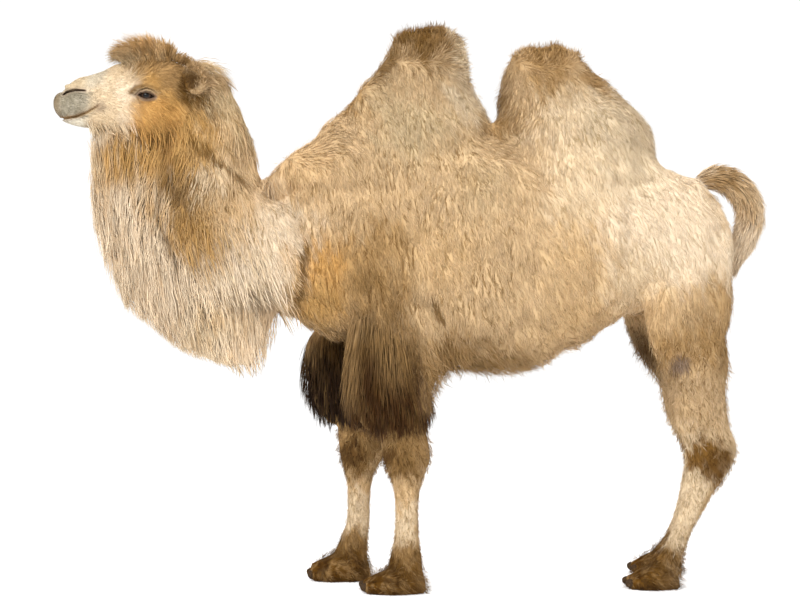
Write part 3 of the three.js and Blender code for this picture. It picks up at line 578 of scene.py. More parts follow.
# %% The skin's field
CORE_DEPTH = {"beard": 54, "topknot": 64, "tail": 32, "cuff": 44}  # of the skin below long hair
SKIN_LOWEST, SOLE_LOWEST = 1.5, 0.8  # above the floor, before and after the mesh is drawn to the skin
withers = blob((-505, 0, 1530), (95, 95, 62))
valley = blob((335, 0, 1742), (80, 105, 70))
shoulder_fill = blob((-350, 0, 1505), (170, 180, 92))
body_skin = join(34, body, withers, valley, shoulder_fill, bare_head)
mouth_cut = groove(MOUTH, 9)
nostril_cuts = both(lambda side: groove(NOSTRIL, 17, side))
lid_creases = both(lambda side: groove(
    [[EYE[0] - 42, EYE[2] + 2, 1], [EYE[0] - 26, EYE[2] + 19, 2.6], [EYE[0] + 2, EYE[2] + 27, 3],
     [EYE[0] + 28, EYE[2] + 18, 2.6], [EYE[0] + 44, EYE[2] + 2, 1]], 7, side))
lids = both(lambda side: blob(eye_centre(side), (38, 31.5, 31), turn=-6))


GAP_LENGTH, GAP_ABOVE, GAP_BELOW, GAP_POWER = 30.0, 11.0, 11.5, 1.45  # half sizes of the eye's gap
GAP_SLOPE = 0.10  # the inner corner of the eye lies higher than the outer one


def almond(p):
    """Distance in side view from the outline of the gap between the lids."""
    dx = p[:, 0] - EYE[0]
    lift = p[:, 2] - (EYE[2] - 1) + GAP_SLOPE * dx
    return rounded(dx, lift, np.zeros(len(p)), GAP_LENGTH, np.where(lift > 0, GAP_ABOVE, GAP_BELOW),
                   GAP_LENGTH, GAP_POWER)


def eye_opening(side):
    """The almond gap between the lids, cut from the middle of the eye outward."""
    def field(p):
        return np.maximum(almond(p), EYE[1] - side * p[:, 1])
    return near(field, np.array(eye_centre(side)) - 40, np.array(eye_centre(side)) + 40)


eye_openings = both(eye_opening)


def add_face(total, p):
    """Sockets, lids, brows, nostrils, mouth and split lip, worked into the skin of the head."""
    for socket in sockets:
        total = -smooth_min(-total, socket(p), 14)
    for lid in lids:
        total = smooth_min(total, lid(p), 9)
    for wing in nostril_wings:
        total = smooth_min(total, wing(p) + 2, 20)
    whole = total
    for tool in (mouth_cut, *nostril_cuts, *lid_creases):
        total = -smooth_min(-total, tool(p, whole), 3)
    for tool in (lip_cleft, *eye_openings):
        total = -smooth_min(-total, tool(p), 2.5)
    return total


def skin(p):
    """The skin under the coat, with the cores of beard, tuft, cuffs and tail swelling from it."""
    total = body_skin(p) + groom(p)[:, 3]
    furry = fade(-860, -700, p[:, 0]) * fade(700, 900, p[:, 2])
    wavy = furry > 0
    total[wavy] += ripple(p[wavy], 210, 120, 5, 10)[0] * 5 * furry[wavy]
    face = (p[:, 0] < -900) & (p[:, 2] > 1700)
    total[face] = add_face(total[face], p[face])
    total = smooth_min(total, beard(p) + CORE_DEPTH["beard"], 30)
    total = smooth_min(total, topknot(p) + CORE_DEPTH["topknot"], 14)
    total = smooth_min(total, tail(p) + CORE_DEPTH["tail"], 20)
    for cuff in cuffs:
        core = np.maximum(cuff(p) + CORE_DEPTH["cuff"], 14 - np.abs(p[:, 1]))
        total = smooth_min(total, core, 26)
    for ear_form in ears:
        total = smooth_min(total, ear_form(p) + 2.5, 10)
    return np.maximum(total, SKIN_LOWEST - p[:, 2])


def spread_out(field, size=30000):
    """The same field, worked out in chunks by several threads."""
    def quick(p):
        chunks = [p[i:i + size] for i in range(0, len(p), size)]
        with ThreadPoolExecutor(4) as pool:
            return np.concatenate(list(pool.map(field, chunks)))
    return quick


# %% [markdown]
# ## Meshing
#
# The field is sampled on a grid whose lines stand closer together at the head and closest at the
# eyes. Only cells near the surface are looked at. Each cell that the surface crosses gets one
# vertex, each crossed grid edge one four-sided face, and the vertices are then drawn onto the
# surface itself.

# %% A mesh from a field
def grid_lines(*spans):
    """Coordinates from spans (start, end, step), each next to the one before."""
    lines = [spans[0][0]]
    for start, end, step in spans:
        count = max(1, int(round((end - start) / step)))
        lines.extend(start + (end - start) * (i + 1) / count for i in range(count))
    return np.array(lines)


def mesh_of(field, place, shape, block=4):
    """Vertices and outward quads where the field is zero, on a grid whose corners place() gives."""
    counts = [(n - 1) // block for n in shape]
    first = np.argwhere(np.ones(counts, bool)) * block
    ends = np.stack([place(first + np.array(c) * block) for c in np.ndindex(2, 2, 2)])
    middle = ends.mean(0)
    radius = np.linalg.norm(ends - middle, axis=2).max(0)
    value = field(middle)
    grid = np.where(value < 0, -1.0, 1.0).reshape(counts)
    for axis in range(3):
        grid = np.repeat(grid, block, axis)
    grid = np.pad(grid, [(0, 1)] * 3, mode="edge")
    needed = np.zeros(grid.shape, bool)
    for i, j, k in first[np.abs(value) < radius * 1.5 + 12]:
        needed[i:i + block + 1, j:j + block + 1, k:k + block + 1] = True
    where = np.argwhere(needed)
    print("points looked at:", len(where))
    grid[needed] = field(place(where))
    inside = grid < 0
    corners = list(np.ndindex(2, 2, 2))
    n = np.array(grid.shape) - 1
    count = np.zeros(n, np.int8)
    for i, j, k in corners:
        count += inside[i:n[0] + i, j:n[1] + j, k:n[2] + k]
    cells = np.argwhere((count > 0) & (count < 8))
    number = np.full(n, -1)
    number[tuple(cells.T)] = np.arange(len(cells))
    total, hits = np.zeros((len(cells), 3)), np.zeros(len(cells))
    for a in corners:
        for b in corners:
            if sum(b) - sum(a) != 1 or any(y < x for x, y in zip(a, b)):
                continue
            ca, cb = cells + a, cells + b
            fa, fb = grid[tuple(ca.T)], grid[tuple(cb.T)]
            crossed = (fa < 0) != (fb < 0)
            t = np.where(crossed, fa / np.where(crossed, fa - fb, 1), 0)
            total += crossed[:, None] * (place(ca) * (1 - t)[:, None] + place(cb) * t[:, None])
            hits += crossed
    quads = []
    step = np.eye(3, dtype=int)
    for axis in range(3):
        b, c = (axis + 1) % 3, (axis + 2) % 3
        first, second = [slice(None)] * 3, [slice(None)] * 3
        first[axis], second[axis] = slice(0, -1), slice(1, None)
        change = inside[tuple(first)].astype(int) - inside[tuple(second)].astype(int)
        edges = np.argwhere(change != 0)
        eb, ec = edges[:, b], edges[:, c]
        edges = edges[(eb > 0) & (ec > 0) & (eb < n[b]) & (ec < n[c])]
        out = change[tuple(edges.T)] > 0
        quad = np.stack([number[tuple((edges - off).T)]
                         for off in (step[b] + step[c], step[c], 0 * step[0], step[b])], axis=1)
        quad[~out] = quad[~out][:, ::-1]
        quads.append(quad[(quad >= 0).all(1)])
    return total / hits[:, None], np.concatenate(quads)


def settle(field, vertices, rounds=2, most=5.0, step=0.8):
    """Moves vertices onto the zero of a field, by at most so many mm in each round."""
    for _ in range(rounds):
        value = field(vertices)
        grown = [field(vertices + np.eye(3)[i] * step) - value for i in range(3)]
        grown = np.stack(grown, axis=1) / step
        size = np.linalg.norm(grown, axis=1)
        way = grown / np.maximum(size, 1e-6)[:, None]
        vertices = vertices - way * np.clip(value / np.maximum(size, 0.35), -most, most)[:, None]
    return vertices


LINES_X = grid_lines((-1398, -1072, 5.2), (-1072, -984, 3.3), (-984, -860, 5.6), (-860, -640, 9),
                     (-640, 1412, 15))
HEAD_Y = grid_lines((-380, -128, 30), (-128, -62, 3.6), (-62, 62, 6), (62, 128, 3.6),
                    (128, 380, 30))
HEAD_Z = grid_lines((800, 1690, 15.5), (1690, 1846, 5.8), (1846, 1906, 3.3), (1906, 2030, 5.8),
                    (2030, 2186, 14))
BODY_Y = np.linspace(-360, 360, len(HEAD_Y))
BODY_Z = np.linspace(-12, 2186, len(HEAD_Z))
GRID_SIZE = (len(LINES_X), len(HEAD_Y), len(HEAD_Z))


def grid_place(index):
    """Grid corners: fine at the head, and spread evenly over the taller and wider body."""
    i, j, k = (np.minimum(index[:, a], size - 1) for a, size in enumerate(GRID_SIZE))
    x = LINES_X[i]
    wide = fade(-850, -420, x)
    y = HEAD_Y[j] * (1 - wide) + BODY_Y[j] * wide
    return np.stack([x, y, HEAD_Z[k] * (1 - wide) + BODY_Z[k] * wide], axis=1)


quick_skin = spread_out(skin)
skin_points, skin_quads = mesh_of(quick_skin, grid_place, GRID_SIZE)
print("skin mesh:", len(skin_points), "vertices", len(skin_quads) * 2, "triangles")
skin_points = settle(quick_skin, skin_points)
skin_points[:, 2] = np.maximum(skin_points[:, 2], SOLE_LOWEST)
print("skin box mm:", skin_points.min(0).round(1), skin_points.max(0).round(1))

# %% Normals and areas of the skin
skin_triangles = np.concatenate([skin_quads[:, [0, 1, 2]], skin_quads[:, [0, 2, 3]]])
corners_of = skin_points[skin_triangles]
turned = np.cross(corners_of[:, 1] - corners_of[:, 0], corners_of[:, 2] - corners_of[:, 0])
skin_areas = np.linalg.norm(turned, axis=1) / 2
skin_normals = np.zeros_like(skin_points)
for corner in range(3):
    np.add.at(skin_normals, skin_triangles[:, corner], turned)
skin_normals /= np.maximum(np.linalg.norm(skin_normals, axis=1), 1e-9)[:, None]
print("skin area:", round(skin_areas.sum() / 1e6, 2), "square metres")

# %% [markdown]
# ## Colours
#
# The coat runs from cream on the rump and legs through sand on the flanks to brown on the hump
# tops and almost black on the forearms. Named colours are set on places in side view and blend
# like the grooming does. The look-up is shaken a little by a ripple, so that no border runs
# straight. Layers for single marks lie over that, such as lips, lids, ears and hocks, with
# painted shade in the coat's cracks, inside the ears, before the eye, along the brow and in the
# slits of nostril and mouth. Skin and hair both take their colour from here.

# %% Named colours and where they lie
def linear(hex_text):
    """An sRGB hex colour as linear red, green and blue."""
    value = np.array([int(hex_text[i:i + 2], 16) for i in (0, 2, 4)]) / 255
    return np.where(value <= 0.04045, value / 12.92, ((value + 0.055) / 1.055) ** 2.4)


COLOURS = {name: linear(text) for name, text in {
    "ivory": "e6dac4", "cream": "f2dcbd", "straw": "e9d0ab", "pale_grey": "e0caa8",
    "sand": "dab787", "dull_sand": "d3b388", "grey_sand": "cfb68e", "ochre": "d3a05a",
    "gold": "c69a5a", "tan": "b18c5a", "umber": "8c6a3c", "brown": "745222",
    "dark_brown": "4e2f0a", "black_brown": "381f03", "bare_grey": "877d67", "mauve": "8f7763",
    "rim": "4b382a", "russet": "805610", "bone": "d9cbb2", "milk": "efe5d0"}.items()}

#  places (x, z, reach) of each colour
PAINT = {
    "bone": [(-1240, 1950, 60), (-1335, 1905, 34)],
    "straw": [(-1130, 1950, 50), (-1200, 1860, 60), (-1180, 1790, 50), (-800, 1600, 70),
        (-1222, 1600, 36), (-760, 1000, 80), (600, 1800, 90), (640, 1520, 120), (880, 1180, 100),
        (1060, 520, 60), (1050, 350, 80), (1000, 210, 60), (-55, 260, 60)],
    "tan": [(-1060, 1985, 44), (-960, 1975, 50), (-930, 1930, 50), (-200, 1240, 90),
        (-120, 1350, 95), (-40, 1160, 70), (-280, 1860, 50), (330, 1790, 50), (500, 1960, 60),
        (510, 2070, 60), (720, 1960, 60), (220, 1570, 40), (120, 900, 80), (330, 845, 70),
        (1170, 950, 64), (1020, 900, 70), (1175, 1065, 80), (-60, 700, 70), (-60, 600, 50),
        (-60, 130, 36), (1225, 1565, 44)],
    "gold": [(-1000, 1930, 40), (-1000, 1720, 50), (-950, 1860, 36), (-850, 1760, 60),
        (-800, 1680, 50), (-900, 1660, 60), (-1140, 1620, 64), (-1060, 1640, 60), (-1040, 1730, 50),
        (-850, 1400, 80), (-400, 1110, 60)],
    "ivory": [(-1325, 1835, 30), (-1270, 1860, 40)],
    "milk": [(-1300, 1770, 40)],
    "cream": [(-1110, 1890, 50), (-1225, 1705, 42), (-1110, 1785, 44), (-1120, 1440, 80),
        (-1060, 1300, 90), (-1160, 1330, 60), (-900, 1120, 80), (-960, 1120, 50), (-680, 900, 70),
        (-540, 1400, 120), (-640, 1220, 120), (840, 1400, 120), (1000, 1440, 120),
        (1060, 1300, 110), (1305, 1350, 90), (1270, 1250, 60)],
    "ochre": [(-960, 1820, 70), (-1050, 1760, 60), (-370, 1260, 80)],
    "brown": [(-885, 1885, 30), (30, 2160, 60), (900, 60, 50), (-100, 900, 80), (-90, 70, 46)],
    "umber": [(-900, 2025, 40), (-900, 1520, 80), (-170, 1180, 50), (30, 2090, 60),
        (-180, 2040, 50), (262, 1950, 36), (330, 1920, 30), (230, 810, 70), (950, 110, 40),
        (-60, 1060, 80), (-60, 460, 46)],
    "dull_sand": [(-780, 1960, 40), (-630, 1640, 90), (-240, 1480, 110), (-260, 1720, 90),
        (30, 1930, 80), (330, 1640, 90), (430, 1900, 60), (60, 1500, 150), (350, 1520, 150),
        (380, 1260, 140), (60, 1060, 120), (340, 1060, 120), (1140, 1080, 80), (1080, 780, 70),
        (1000, 760, 60), (1085, 650, 60), (1290, 1500, 60)],
    "grey_sand": [(-700, 1870, 70), (-640, 1760, 60), (-20, 1780, 100), (270, 1560, 100)],
    "sand": [(-740, 1760, 60), (-980, 1440, 50), (-700, 1440, 90), (-440, 1560, 110),
        (100, 1280, 140), (640, 1300, 130), (640, 1010, 100), (940, 1040, 90), (-60, 370, 50),
        (1310, 1430, 50)],
    "pale_grey": [(195, 1900, 60), (170, 2040, 30), (720, 1820, 80), (850, 1620, 90)],
    "dark_brown": [(850, 20, 50), (-130, 25, 50)]}


FACE_POWER, PAINT_POWER = 4.0, 2.7  # how sharply a place gives way, on the face and elsewhere


PAINT_MAP = side_map([(x, z, reach, FACE_POWER if x < -940 and z > 1700 else PAINT_POWER,
                       COLOURS[name]) for name, places in PAINT.items() for x, z, reach in places])

# Lines where the felted coat has split: four on the neck, one at the shoulder, and a fold behind
# the elbow. x and z in mm.
CRACKS = [[(-818, 1872), (-790, 1850), (-776, 1822), (-748, 1806)], [(-806, 1826), (-760, 1800)],
          [(-861, 1717), (-806, 1676), (-745, 1614), (-668, 1556)],
          [(-919, 1640), (-973, 1513), (-996, 1409), (-938, 1281), (-899, 1227)],
          [(-433, 1325), (-450, 1250), (-454, 1190), (-466, 1114)], [(36, 1108), (50, 1072), (64, 1040)]]


def stained(colour, *layers):
    """The colour with layers (name, share) of named ones over it, one after the other."""
    for name, share in layers:
        colour = colour + (COLOURS[name] - colour) * share[:, None]
    return colour


def spot(x, z, px, pz, rx, rz, soft=0.5):
    """1 inside an oval in side view, fading to 0 over the soft part of its reach."""
    return fade(1 + soft, 1 - soft, np.hypot((x - px) / rx, (z - pz) / rz))


def near_ear(p):
    return np.minimum(ears[0](p), ears[1](p))


def near_crack(p):
    return np.minimum.reduce([near_line(p, crack) for crack in CRACKS])


VIEWER_X, VIEWER_AWAY, VIEWER_Z = -794, 6961, 1212


def as_seen(p, face):
    """Places of the body in side view, for a viewer to whom its near side looks larger."""
    x, out, z = own_x(p), np.abs(p[:, 1]), p[:, 2]
    bulge = out / (VIEWER_AWAY - out) * (1 - face)
    return x + (x - VIEWER_X) * bulge, z + (z - VIEWER_Z) * bulge


# The next functions give layers (colour, share) in the order in which they're laid on. x and z
# are shaken places in side view, seen_x and seen_z the same before they're shaken.
def body_layers(p, x, z, seen_x, seen_z, shake, face):
    """Groin, thigh, hocks, knees, low legs, soles and hump tops, and painted shade in the cracks."""
    own, y, height, out = own_x(p), p[:, 1], p[:, 2], np.abs(p[:, 1])
    inside = np.maximum(fade(260, 120, y) * fade(10, 40, y), fade(120, 60, out))
    groin = spot(seen_x, seen_z, 890, 880, 110, 130) * inside
    bare_thigh = spot(seen_x, seen_z, 1046, 850, 42, 36, 0.3) * fade(150, 220, out)
    hind_back = np.interp(height, [100, 216, 308, 411], [975, 1020, 1065, 1110])
    rear_edge = np.where(own < MIDDLE_X, own + 30, own - hind_back)
    foot_middle = np.where(own < MIDDLE_X, -100, 880)
    low_leg = fade(165, 105, height - 0.25 * np.abs(own - foot_middle) + 20 * shake)
    light_patch = np.clip(ripple(p, 70, 26, 28, 12, -40)[0], 0, 1)
    dark_patch = np.clip(-ripple(p, 60, 24, 29, 12, -40)[0], 0, 1)
    on_side = fade(50, 90, out) * (1 - face)
    return [("black_brown", groin * 0.85),
            ("mauve", bare_thigh * 0.9),
            ("russet", spot(x, z, 1146, 480, 100, 74) * 0.95),
            ("dark_brown", spot(x, z, 1190, 455, 40, 60) * 0.5),
            ("tan", fade(0, 24, rear_edge) * fade(430, 380, height) * 0.75),
            ("umber", spot(x, z, -92, 470, 50, 84) * 0.8),
            ("umber", spot(x, z, -40, 560, 90, 40) * 0.4),
            ("russet", low_leg * 0.45),
            ("tan", low_leg * light_patch * 0.75),
            ("black_brown", low_leg * dark_patch * 0.6),
            ("dark_brown", spot(x, z, -88, 500, 34, 66) * 0.7),
            ("black_brown", fade(34, 6, height) * 0.5),
            ("brown", spot(x, z, -40, 2150, 210, 44, 0.9) * 0.85),
            ("brown", spot(x, z, 520, 2085, 150, 36, 0.9) * 0.6),
            # Painted shade along the cracks in the felted coat.
            ("brown", fade(18, 5, near_crack(p) + 4 * shake) * on_side * 0.8)]


def muzzle_layers(p, shake, face):
    """The bare lips and the pale bridge of the nose."""
    x, z = p[:, 0], p[:, 2]
    lip = fade(-1196, -1282, x + 5 * shake + 0.2 * (1850 - z)) * fade(1894, 1884, z + 2 * shake)
    lip *= 1 - 0.14 * np.abs(ripple(p, 40, 8, 25, 10)[0])
    lip *= 0.84 + 0.16 * np.clip(0.5 + ripple(p, 90, 60, 26, 10)[0], 0, 1)
    return [("bare_grey", lip * fade(1782, 1792, z) * face * 0.95),
            ("mauve", lip * fade(20, 6, near_line(p, MOUTH)) * face * 0.4),
            ("grey_sand", fade(-1230, -1280, x) * fade(1886, 1896, z) * face * 0.7),
            ("umber", fade(-1338, -1366, x) * fade(1790, 1810, z) * face * 0.35)]


# Lines in side view along which shade is painted: under the brow, and in its crease.
BROW = [(-1092, 1885), (-1068, 1901), (-1024, 1907), (-984, 1893)]
BROW_CREASE = [(-1088, 1884), (-1068, 1900), (-1046, 1904)]


def eye_layers(p, sides, face):
    """Painted shade in front of the eye, along its brow and in the brow's crease; the upper lid and the
    dark rim.
    """
    gap = almond(p)
    above_eye = fade(1876, 1884, p[:, 2]) * fade(26, 16, gap)
    shaded_hollow = spot(p[:, 0], p[:, 2], -1066, 1880, 22, 14, 0.6)
    # Painted shade: the mauve before the eye, and the umber and brown along the brow and in its crease.
    return [("mauve", shaded_hollow * fade(50, 62, np.abs(p[:, 1])) * face * 0.65),
            ("grey_sand", above_eye * sides * 0.7),
            ("umber", fade(14, 3, near_line(p, BROW)) * sides * 0.55),
            ("brown", fade(12, 2, near_line(p, BROW_CREASE)) * sides * 0.7),
            ("mauve", fade(14, 5, gap) * sides * 0.9),
            ("rim", fade(6, 1.5, gap) * sides * 0.8)]


def ear_layers(p, shaken_x, face):
    """The crown under its tuft, and the ears, with painted shade deep inside them."""
    x, out, z = p[:, 0], np.abs(p[:, 1]), p[:, 2]
    crown = fade(12, -12, topknot(p)) * fade(1990, 2004, z)
    on_ear = fade(12, 4, near_ear(p)) * fade(-800, -830, shaken_x)
    off = np.sqrt(((x + 858) / 29) ** 2 + ((out - 145) / 36) ** 2 + ((z - 1930) / 42) ** 2)
    shaded_hollow = fade(1.15, 0.8, off)
    return [("tan", crown),
            ("dull_sand", on_ear),
            ("umber", on_ear * np.clip(0.35 + 0.9 * ripple(p, 26, 14, 27, 10)[0], 0, 0.7)),
            ("brown", on_ear * fade(-866, -884, x + 0.25 * (z - 1926)) * 0.9),
            ("brown", spot(x, z, -890, 1893, 20, 44, 0.6) * face * 0.9),
            # Painted shade inside the ear, deepest low down in it.
            ("dark_brown", shaded_hollow * fade(1975, 1900, z)),
            ("umber", shaded_hollow * 0.5)]


def line_layers(p, sides, face):
    """The tear line below the eye, painted shade in the slits of nostril and mouth and at the mouth's
    corner, and a soft mauve band round the nostril.
    """
    off_centre = fade(14, 24, np.abs(p[:, 1]))
    tear_line = [(EYE[0] - 34, EYE[2] - 12), (EYE[0] - 58, EYE[2] - 34)]
    to_mouth, to_nostril = near_line(p, MOUTH), near_line(p, NOSTRIL)
    return [("tan", fade(14, 3, near_line(p, tear_line)) * sides * 0.5),
            # Painted shade in the slits of nostril and mouth, and at the mouth's corner.
            ("rim", fade(7, 2, to_nostril) * off_centre * face * 0.9),
            ("umber", fade(9, 2, to_mouth) * face * 0.85),
            ("mauve", spot(p[:, 0], p[:, 2], -1203, 1832, 16, 20, 0.8) * face * 0.6),
            ("mauve", fade(16, 6, to_nostril) * off_centre * face * 0.35)]


BODY_SHAKE, FACE_SHAKE = 22, 5  # mm by which a ripple moves the look-up


def markings(p):
    """Linear colour of skin and coat at points."""
    shake = ripple(p, 90, 60, 21, 10)[0]
    face = head_share(p)
    size = BODY_SHAKE - (BODY_SHAKE - FACE_SHAKE) * face
    seen_x, seen_z = as_seen(p, face)
    x, z = seen_x + shake * size, seen_z + ripple(p, 80, 70, 22, 10)[0] * size
    sides = fade(50, 62, np.abs(p[:, 1])) * face
    return stained(look_up(PAINT_MAP, x, z), *body_layers(p, x, z, seen_x, seen_z, shake, face),
                   *muzzle_layers(p, shake, face), *eye_layers(p, sides, face),
                   *ear_layers(p, x, face), *line_layers(p, sides, face))


# %% [markdown]
# ## Materials
#
# Hair is keratin, IOR 1.55, and rough. Its attribute `coat_mark` carries the markings, and a
# second one, `strand`, says where a point lies on its tuft: across, along and a random number for
# the tuft. Roots are darker than tips, as painted shade of the hair around them, and tufts differ
# a little.

# %% A helper, and the materials
HAIR_GLOSS = 0.16  # a coat shadows most of the light that single hairs would mirror
NAIL_GLOSS = 0.15  # worn and dusty
KERATIN_IOR, SKIN_IOR, CORNEA_IOR = 1.55, 1.45, 1.376


def material(name, roughness, ior, colour=(0.8, 0.8, 0.8), **inputs):
    mat = bpy.data.materials.new(name)
    mat.use_nodes = True
    shader = mat.node_tree.nodes["Principled BSDF"]
    shader.inputs["Base Color"].default_value = (*colour, 1)
    shader.inputs["Roughness"].default_value = roughness
    shader.inputs["IOR"].default_value = ior
    for key, value in inputs.items():
        shader.inputs[key.replace("_", " ")].default_value = value
    return mat


def node(mat, kind, settings=None, **links):
    """Adds a node. settings are its properties, links are values or sockets for its inputs:
    i0, i1 and so on count the inputs, and any other word is an input's name."""
    made = mat.node_tree.nodes.new(kind)
    for key, value in (settings or {}).items():
        setattr(made, key, value)
    for key, value in links.items():
        counted = key[0] == "i" and key[1:].isdigit()
        socket = made.inputs[int(key[1:]) if counted else key]
        if isinstance(value, bpy.types.NodeSocket):
            mat.node_tree.links.new(value, socket)
        else:
            socket.default_value = value
    return made


def attribute(mat, name):
    return node(mat, "ShaderNodeAttribute", {"attribute_name": name}).outputs["Vector"]


def ranged(mat, value, *limits):
    """A node that carries a value from one range to another: from low, from high, low, high."""
    ends = {f"i{k}": limit for k, limit in enumerate(limits, 1)}
    return node(mat, "ShaderNodeMapRange", i0=value, **ends)


def attach(mat, socket_name, output):
    mat.node_tree.links.new(output, mat.node_tree.nodes["Principled BSDF"].inputs[socket_name])


def shade_by(mat, first, second):
    """Gives a material the markings, scaled by what two nodes put out."""
    level = node(mat, "ShaderNodeMath", {"operation": "MULTIPLY"}, i0=first.outputs[0],
                 i1=second.outputs[0])
    scaled = node(mat, "ShaderNodeVectorMath", {"operation": "SCALE"},
                  i0=attribute(mat, "coat_mark"), Scale=level.outputs[0])
    attach(mat, "Base Color", scaled.outputs[0])


# Painted shade along each hair: darkest at the root, and the tip a little lighter than the markings.
TIP_SHADE = 1.06


def hair_material(name, roughness, painted_root_shade, spread):
    """Hair that takes the markings, with painted shade at the root, and uneven from tuft to tuft."""
    mat = material(name, roughness, KERATIN_IOR, Specular_IOR_Level=HAIR_GLOSS)
    parts = node(mat, "ShaderNodeSeparateXYZ", i0=attribute(mat, "strand"))
    tip = ranged(mat, parts.outputs[1], 0.0, 0.75, painted_root_shade, TIP_SHADE)
    vary = ranged(mat, parts.outputs[2], 0.0, 1.0, 1 - spread, 1 + spread)
    shade_by(mat, tip, vary)
    return mat


def roughen(mat, noise, strength, depth):
    """A bump of so many metres from a noise node."""
    bump = node(mat, "ShaderNodeBump", None, Strength=strength, Distance=depth,
                Height=noise.outputs[0])
    attach(mat, "Normal", bump.outputs[0])


def skin_material():
    """Skin under fur: the markings, with short hairs and pores as fine bump."""
    mat = material("hide with short hair", 0.75, SKIN_IOR, Specular_IOR_Level=HAIR_GLOSS)
    place = node(mat, "ShaderNodeTexCoord").outputs["Object"]
    streaks = node(mat, "ShaderNodeMapping", {"vector_type": "TEXTURE"}, Vector=place,
                   Rotation=(0.0, math.radians(60), 0.0), Scale=(0.016, 0.0022, 0.0022))
    fine = node(mat, "ShaderNodeTexNoise", None, Vector=streaks.outputs[0], Scale=1.0, Detail=4.0)
    wide = node(mat, "ShaderNodeTexNoise", None, Vector=place, Scale=26.0, Detail=3.0)
    shade = ranged(mat, fine.outputs[0], 0.3, 0.7, 0.88, 1.05)
    patch = ranged(mat, wide.outputs[0], 0.3, 0.7, 0.95, 1.03)
    shade_by(mat, shade, patch)
    roughen(mat, fine, 0.35, 0.0015)
    return mat


HIDE = skin_material()
SHORT_HAIR = hair_material("short keratin hair", 0.8, 0.88, 0.04)
LONG_HAIR = hair_material("long keratin hair", 0.62, 0.9, 0.08)
print("materials:", [m.name for m in bpy.data.materials])

# %% [markdown]
# ## Making meshes from arrays
#
# A tuft is a closed blade of three-sided rings along a path, pointed at both ends. All tufts of a
# piece are written into one mesh at once.

# %% Meshes, tufts and the bake map
def new_piece(name, points, faces, mat, attributes=None, uv=None, smooth=True):
    """A mesh object from arrays in mm. faces is an array of triangles or of quads."""
    mesh = bpy.data.meshes.new(name)
    sides = faces.shape[1]
    mesh.vertices.add(len(points))
    mesh.vertices.foreach_set("co", (points * MM).astype(np.float32).ravel())
    mesh.loops.add(faces.size)
    mesh.loops.foreach_set("vertex_index", faces.astype(np.int32).ravel())
    mesh.polygons.add(len(faces))
    mesh.polygons.foreach_set("loop_start", np.arange(len(faces), dtype=np.int32) * sides)
    mesh.polygons.foreach_set("use_smooth", np.full(len(faces), smooth))
    mesh.update(calc_edges=True)
    for key, values in (attributes or {}).items():
        layer = mesh.attributes.new(key, "FLOAT_VECTOR", "POINT")
        layer.data.foreach_set("vector", values.astype(np.float32).ravel())
    if uv is not None:
        layer = mesh.uv_layers.new(name="OFBake")
        layer.data.foreach_set("uv", uv[faces.ravel()].astype(np.float32).ravel())
    mesh.materials.append(mat)
    obj = bpy.data.objects.new(name, mesh)
    bpy.context.scene.collection.objects.link(obj)
    return obj


def inset(share):
    """A place from 0 to 1 on the bake map, kept off its edges."""
    return 0.02 + 0.96 * share


def unwrapped(p, start, end):
    """Place on the skin laid flat: around the line from start to end, and along it."""
    start, end = np.array(start, float), np.array(end, float)
    way = (end - start) / np.linalg.norm(end - start)
    along = (p - start) @ way / np.linalg.norm(end - start)
    other = np.cross(way, (0, 1, 0))
    off = p - start
    angle = np.arctan2(off[:, 1], off @ other) / (2 * math.pi) + 0.5
    return np.stack([inset(angle), inset(np.clip(along, 0, 1))], axis=1)


PATCH = 0.003  # side of a tuft's square on the bake map
LOWEST_HAIR = 1.0  # mm above the floor


def tufts(name, paths, widths, side, up, marks, root_uv, rng, mat, thick=0.45):
    """Joins blades along paths (n, m, 3) into one piece. widths is (n, m), marks is (n, m, 3)."""
    n, m, _ = paths.shape
    rings = m - 2
    per = 3 * rings + 2  # points of one tuft
    points, colours, strand = np.zeros((n, per, 3)), np.zeros((n, per, 3)), np.zeros((n, per, 3))
    chance = rng.random(n)
    points[:, 0], points[:, -1] = paths[:, 0], paths[:, -1]
    colours[:, 0], colours[:, -1] = marks[:, 0], marks[:, -1]
    strand[:, 0], strand[:, -1, 1] = 0, 1
    strand[:, 0, 0] = strand[:, -1, 0] = 0.5
    for r in range(rings):
        w = widths[:, r + 1, None] / 2
        for c, (across, rise) in enumerate(((-1, 0), (1, 0), (0, 1))):
            at = 1 + 3 * r + c
            points[:, at] = paths[:, r + 1] + side * w * across + up * w * 2 * thick * rise
            colours[:, at] = marks[:, r + 1]
            strand[:, at, 0], strand[:, at, 1] = c / 2, (r + 1) / (m - 1)
    strand[:, :, 2] = chance[:, None]
    pattern = [(0, 2, 1), (0, 3, 2), (0, 1, 3)]
    for r in range(rings - 1):
        a, b = 1 + 3 * r, 4 + 3 * r
        for c in range(3):
            d = (c + 1) % 3
            pattern += [(a + c, a + d, b + d), (a + c, b + d, b + c)]
    last = 1 + 3 * (rings - 1)
    pattern += [(last, last + 1, per - 1), (last + 1, last + 2, per - 1), (last + 2, last, per - 1)]
    pattern = np.array(pattern)
    points[:, :, 2] = np.maximum(points[:, :, 2], LOWEST_HAIR)
    flat = points.reshape(-1, 3)
    some = points[:4000, pattern]  # enough of them to tell whether the faces look inward
    first, second, third = (some[:, :, i] - some[:, :1, 0] for i in range(3))
    if np.einsum("nij,nij->", first, np.cross(second, third)) < 0:
        pattern = pattern[:, ::-1]
    faces = (pattern[None] + (np.arange(n) * per)[:, None, None]).reshape(-1, 3)
    local = np.stack([strand[:, :, 0] - 0.5, strand[:, :, 1] - 0.5], axis=2) * PATCH
    uv = (root_uv[:, None] + local).reshape(-1, 2)
    obj = new_piece(name, flat, faces, mat,
                    {"coat_mark": colours.reshape(-1, 3), "strand": strand.reshape(-1, 3)}, uv)
    print(f"{name}: {n} tufts, {len(faces)} triangles")
    return obj


# %% The skin as one piece
skin_obj = new_piece("skin", skin_points, skin_quads, HIDE, {"coat_mark": markings(skin_points)})
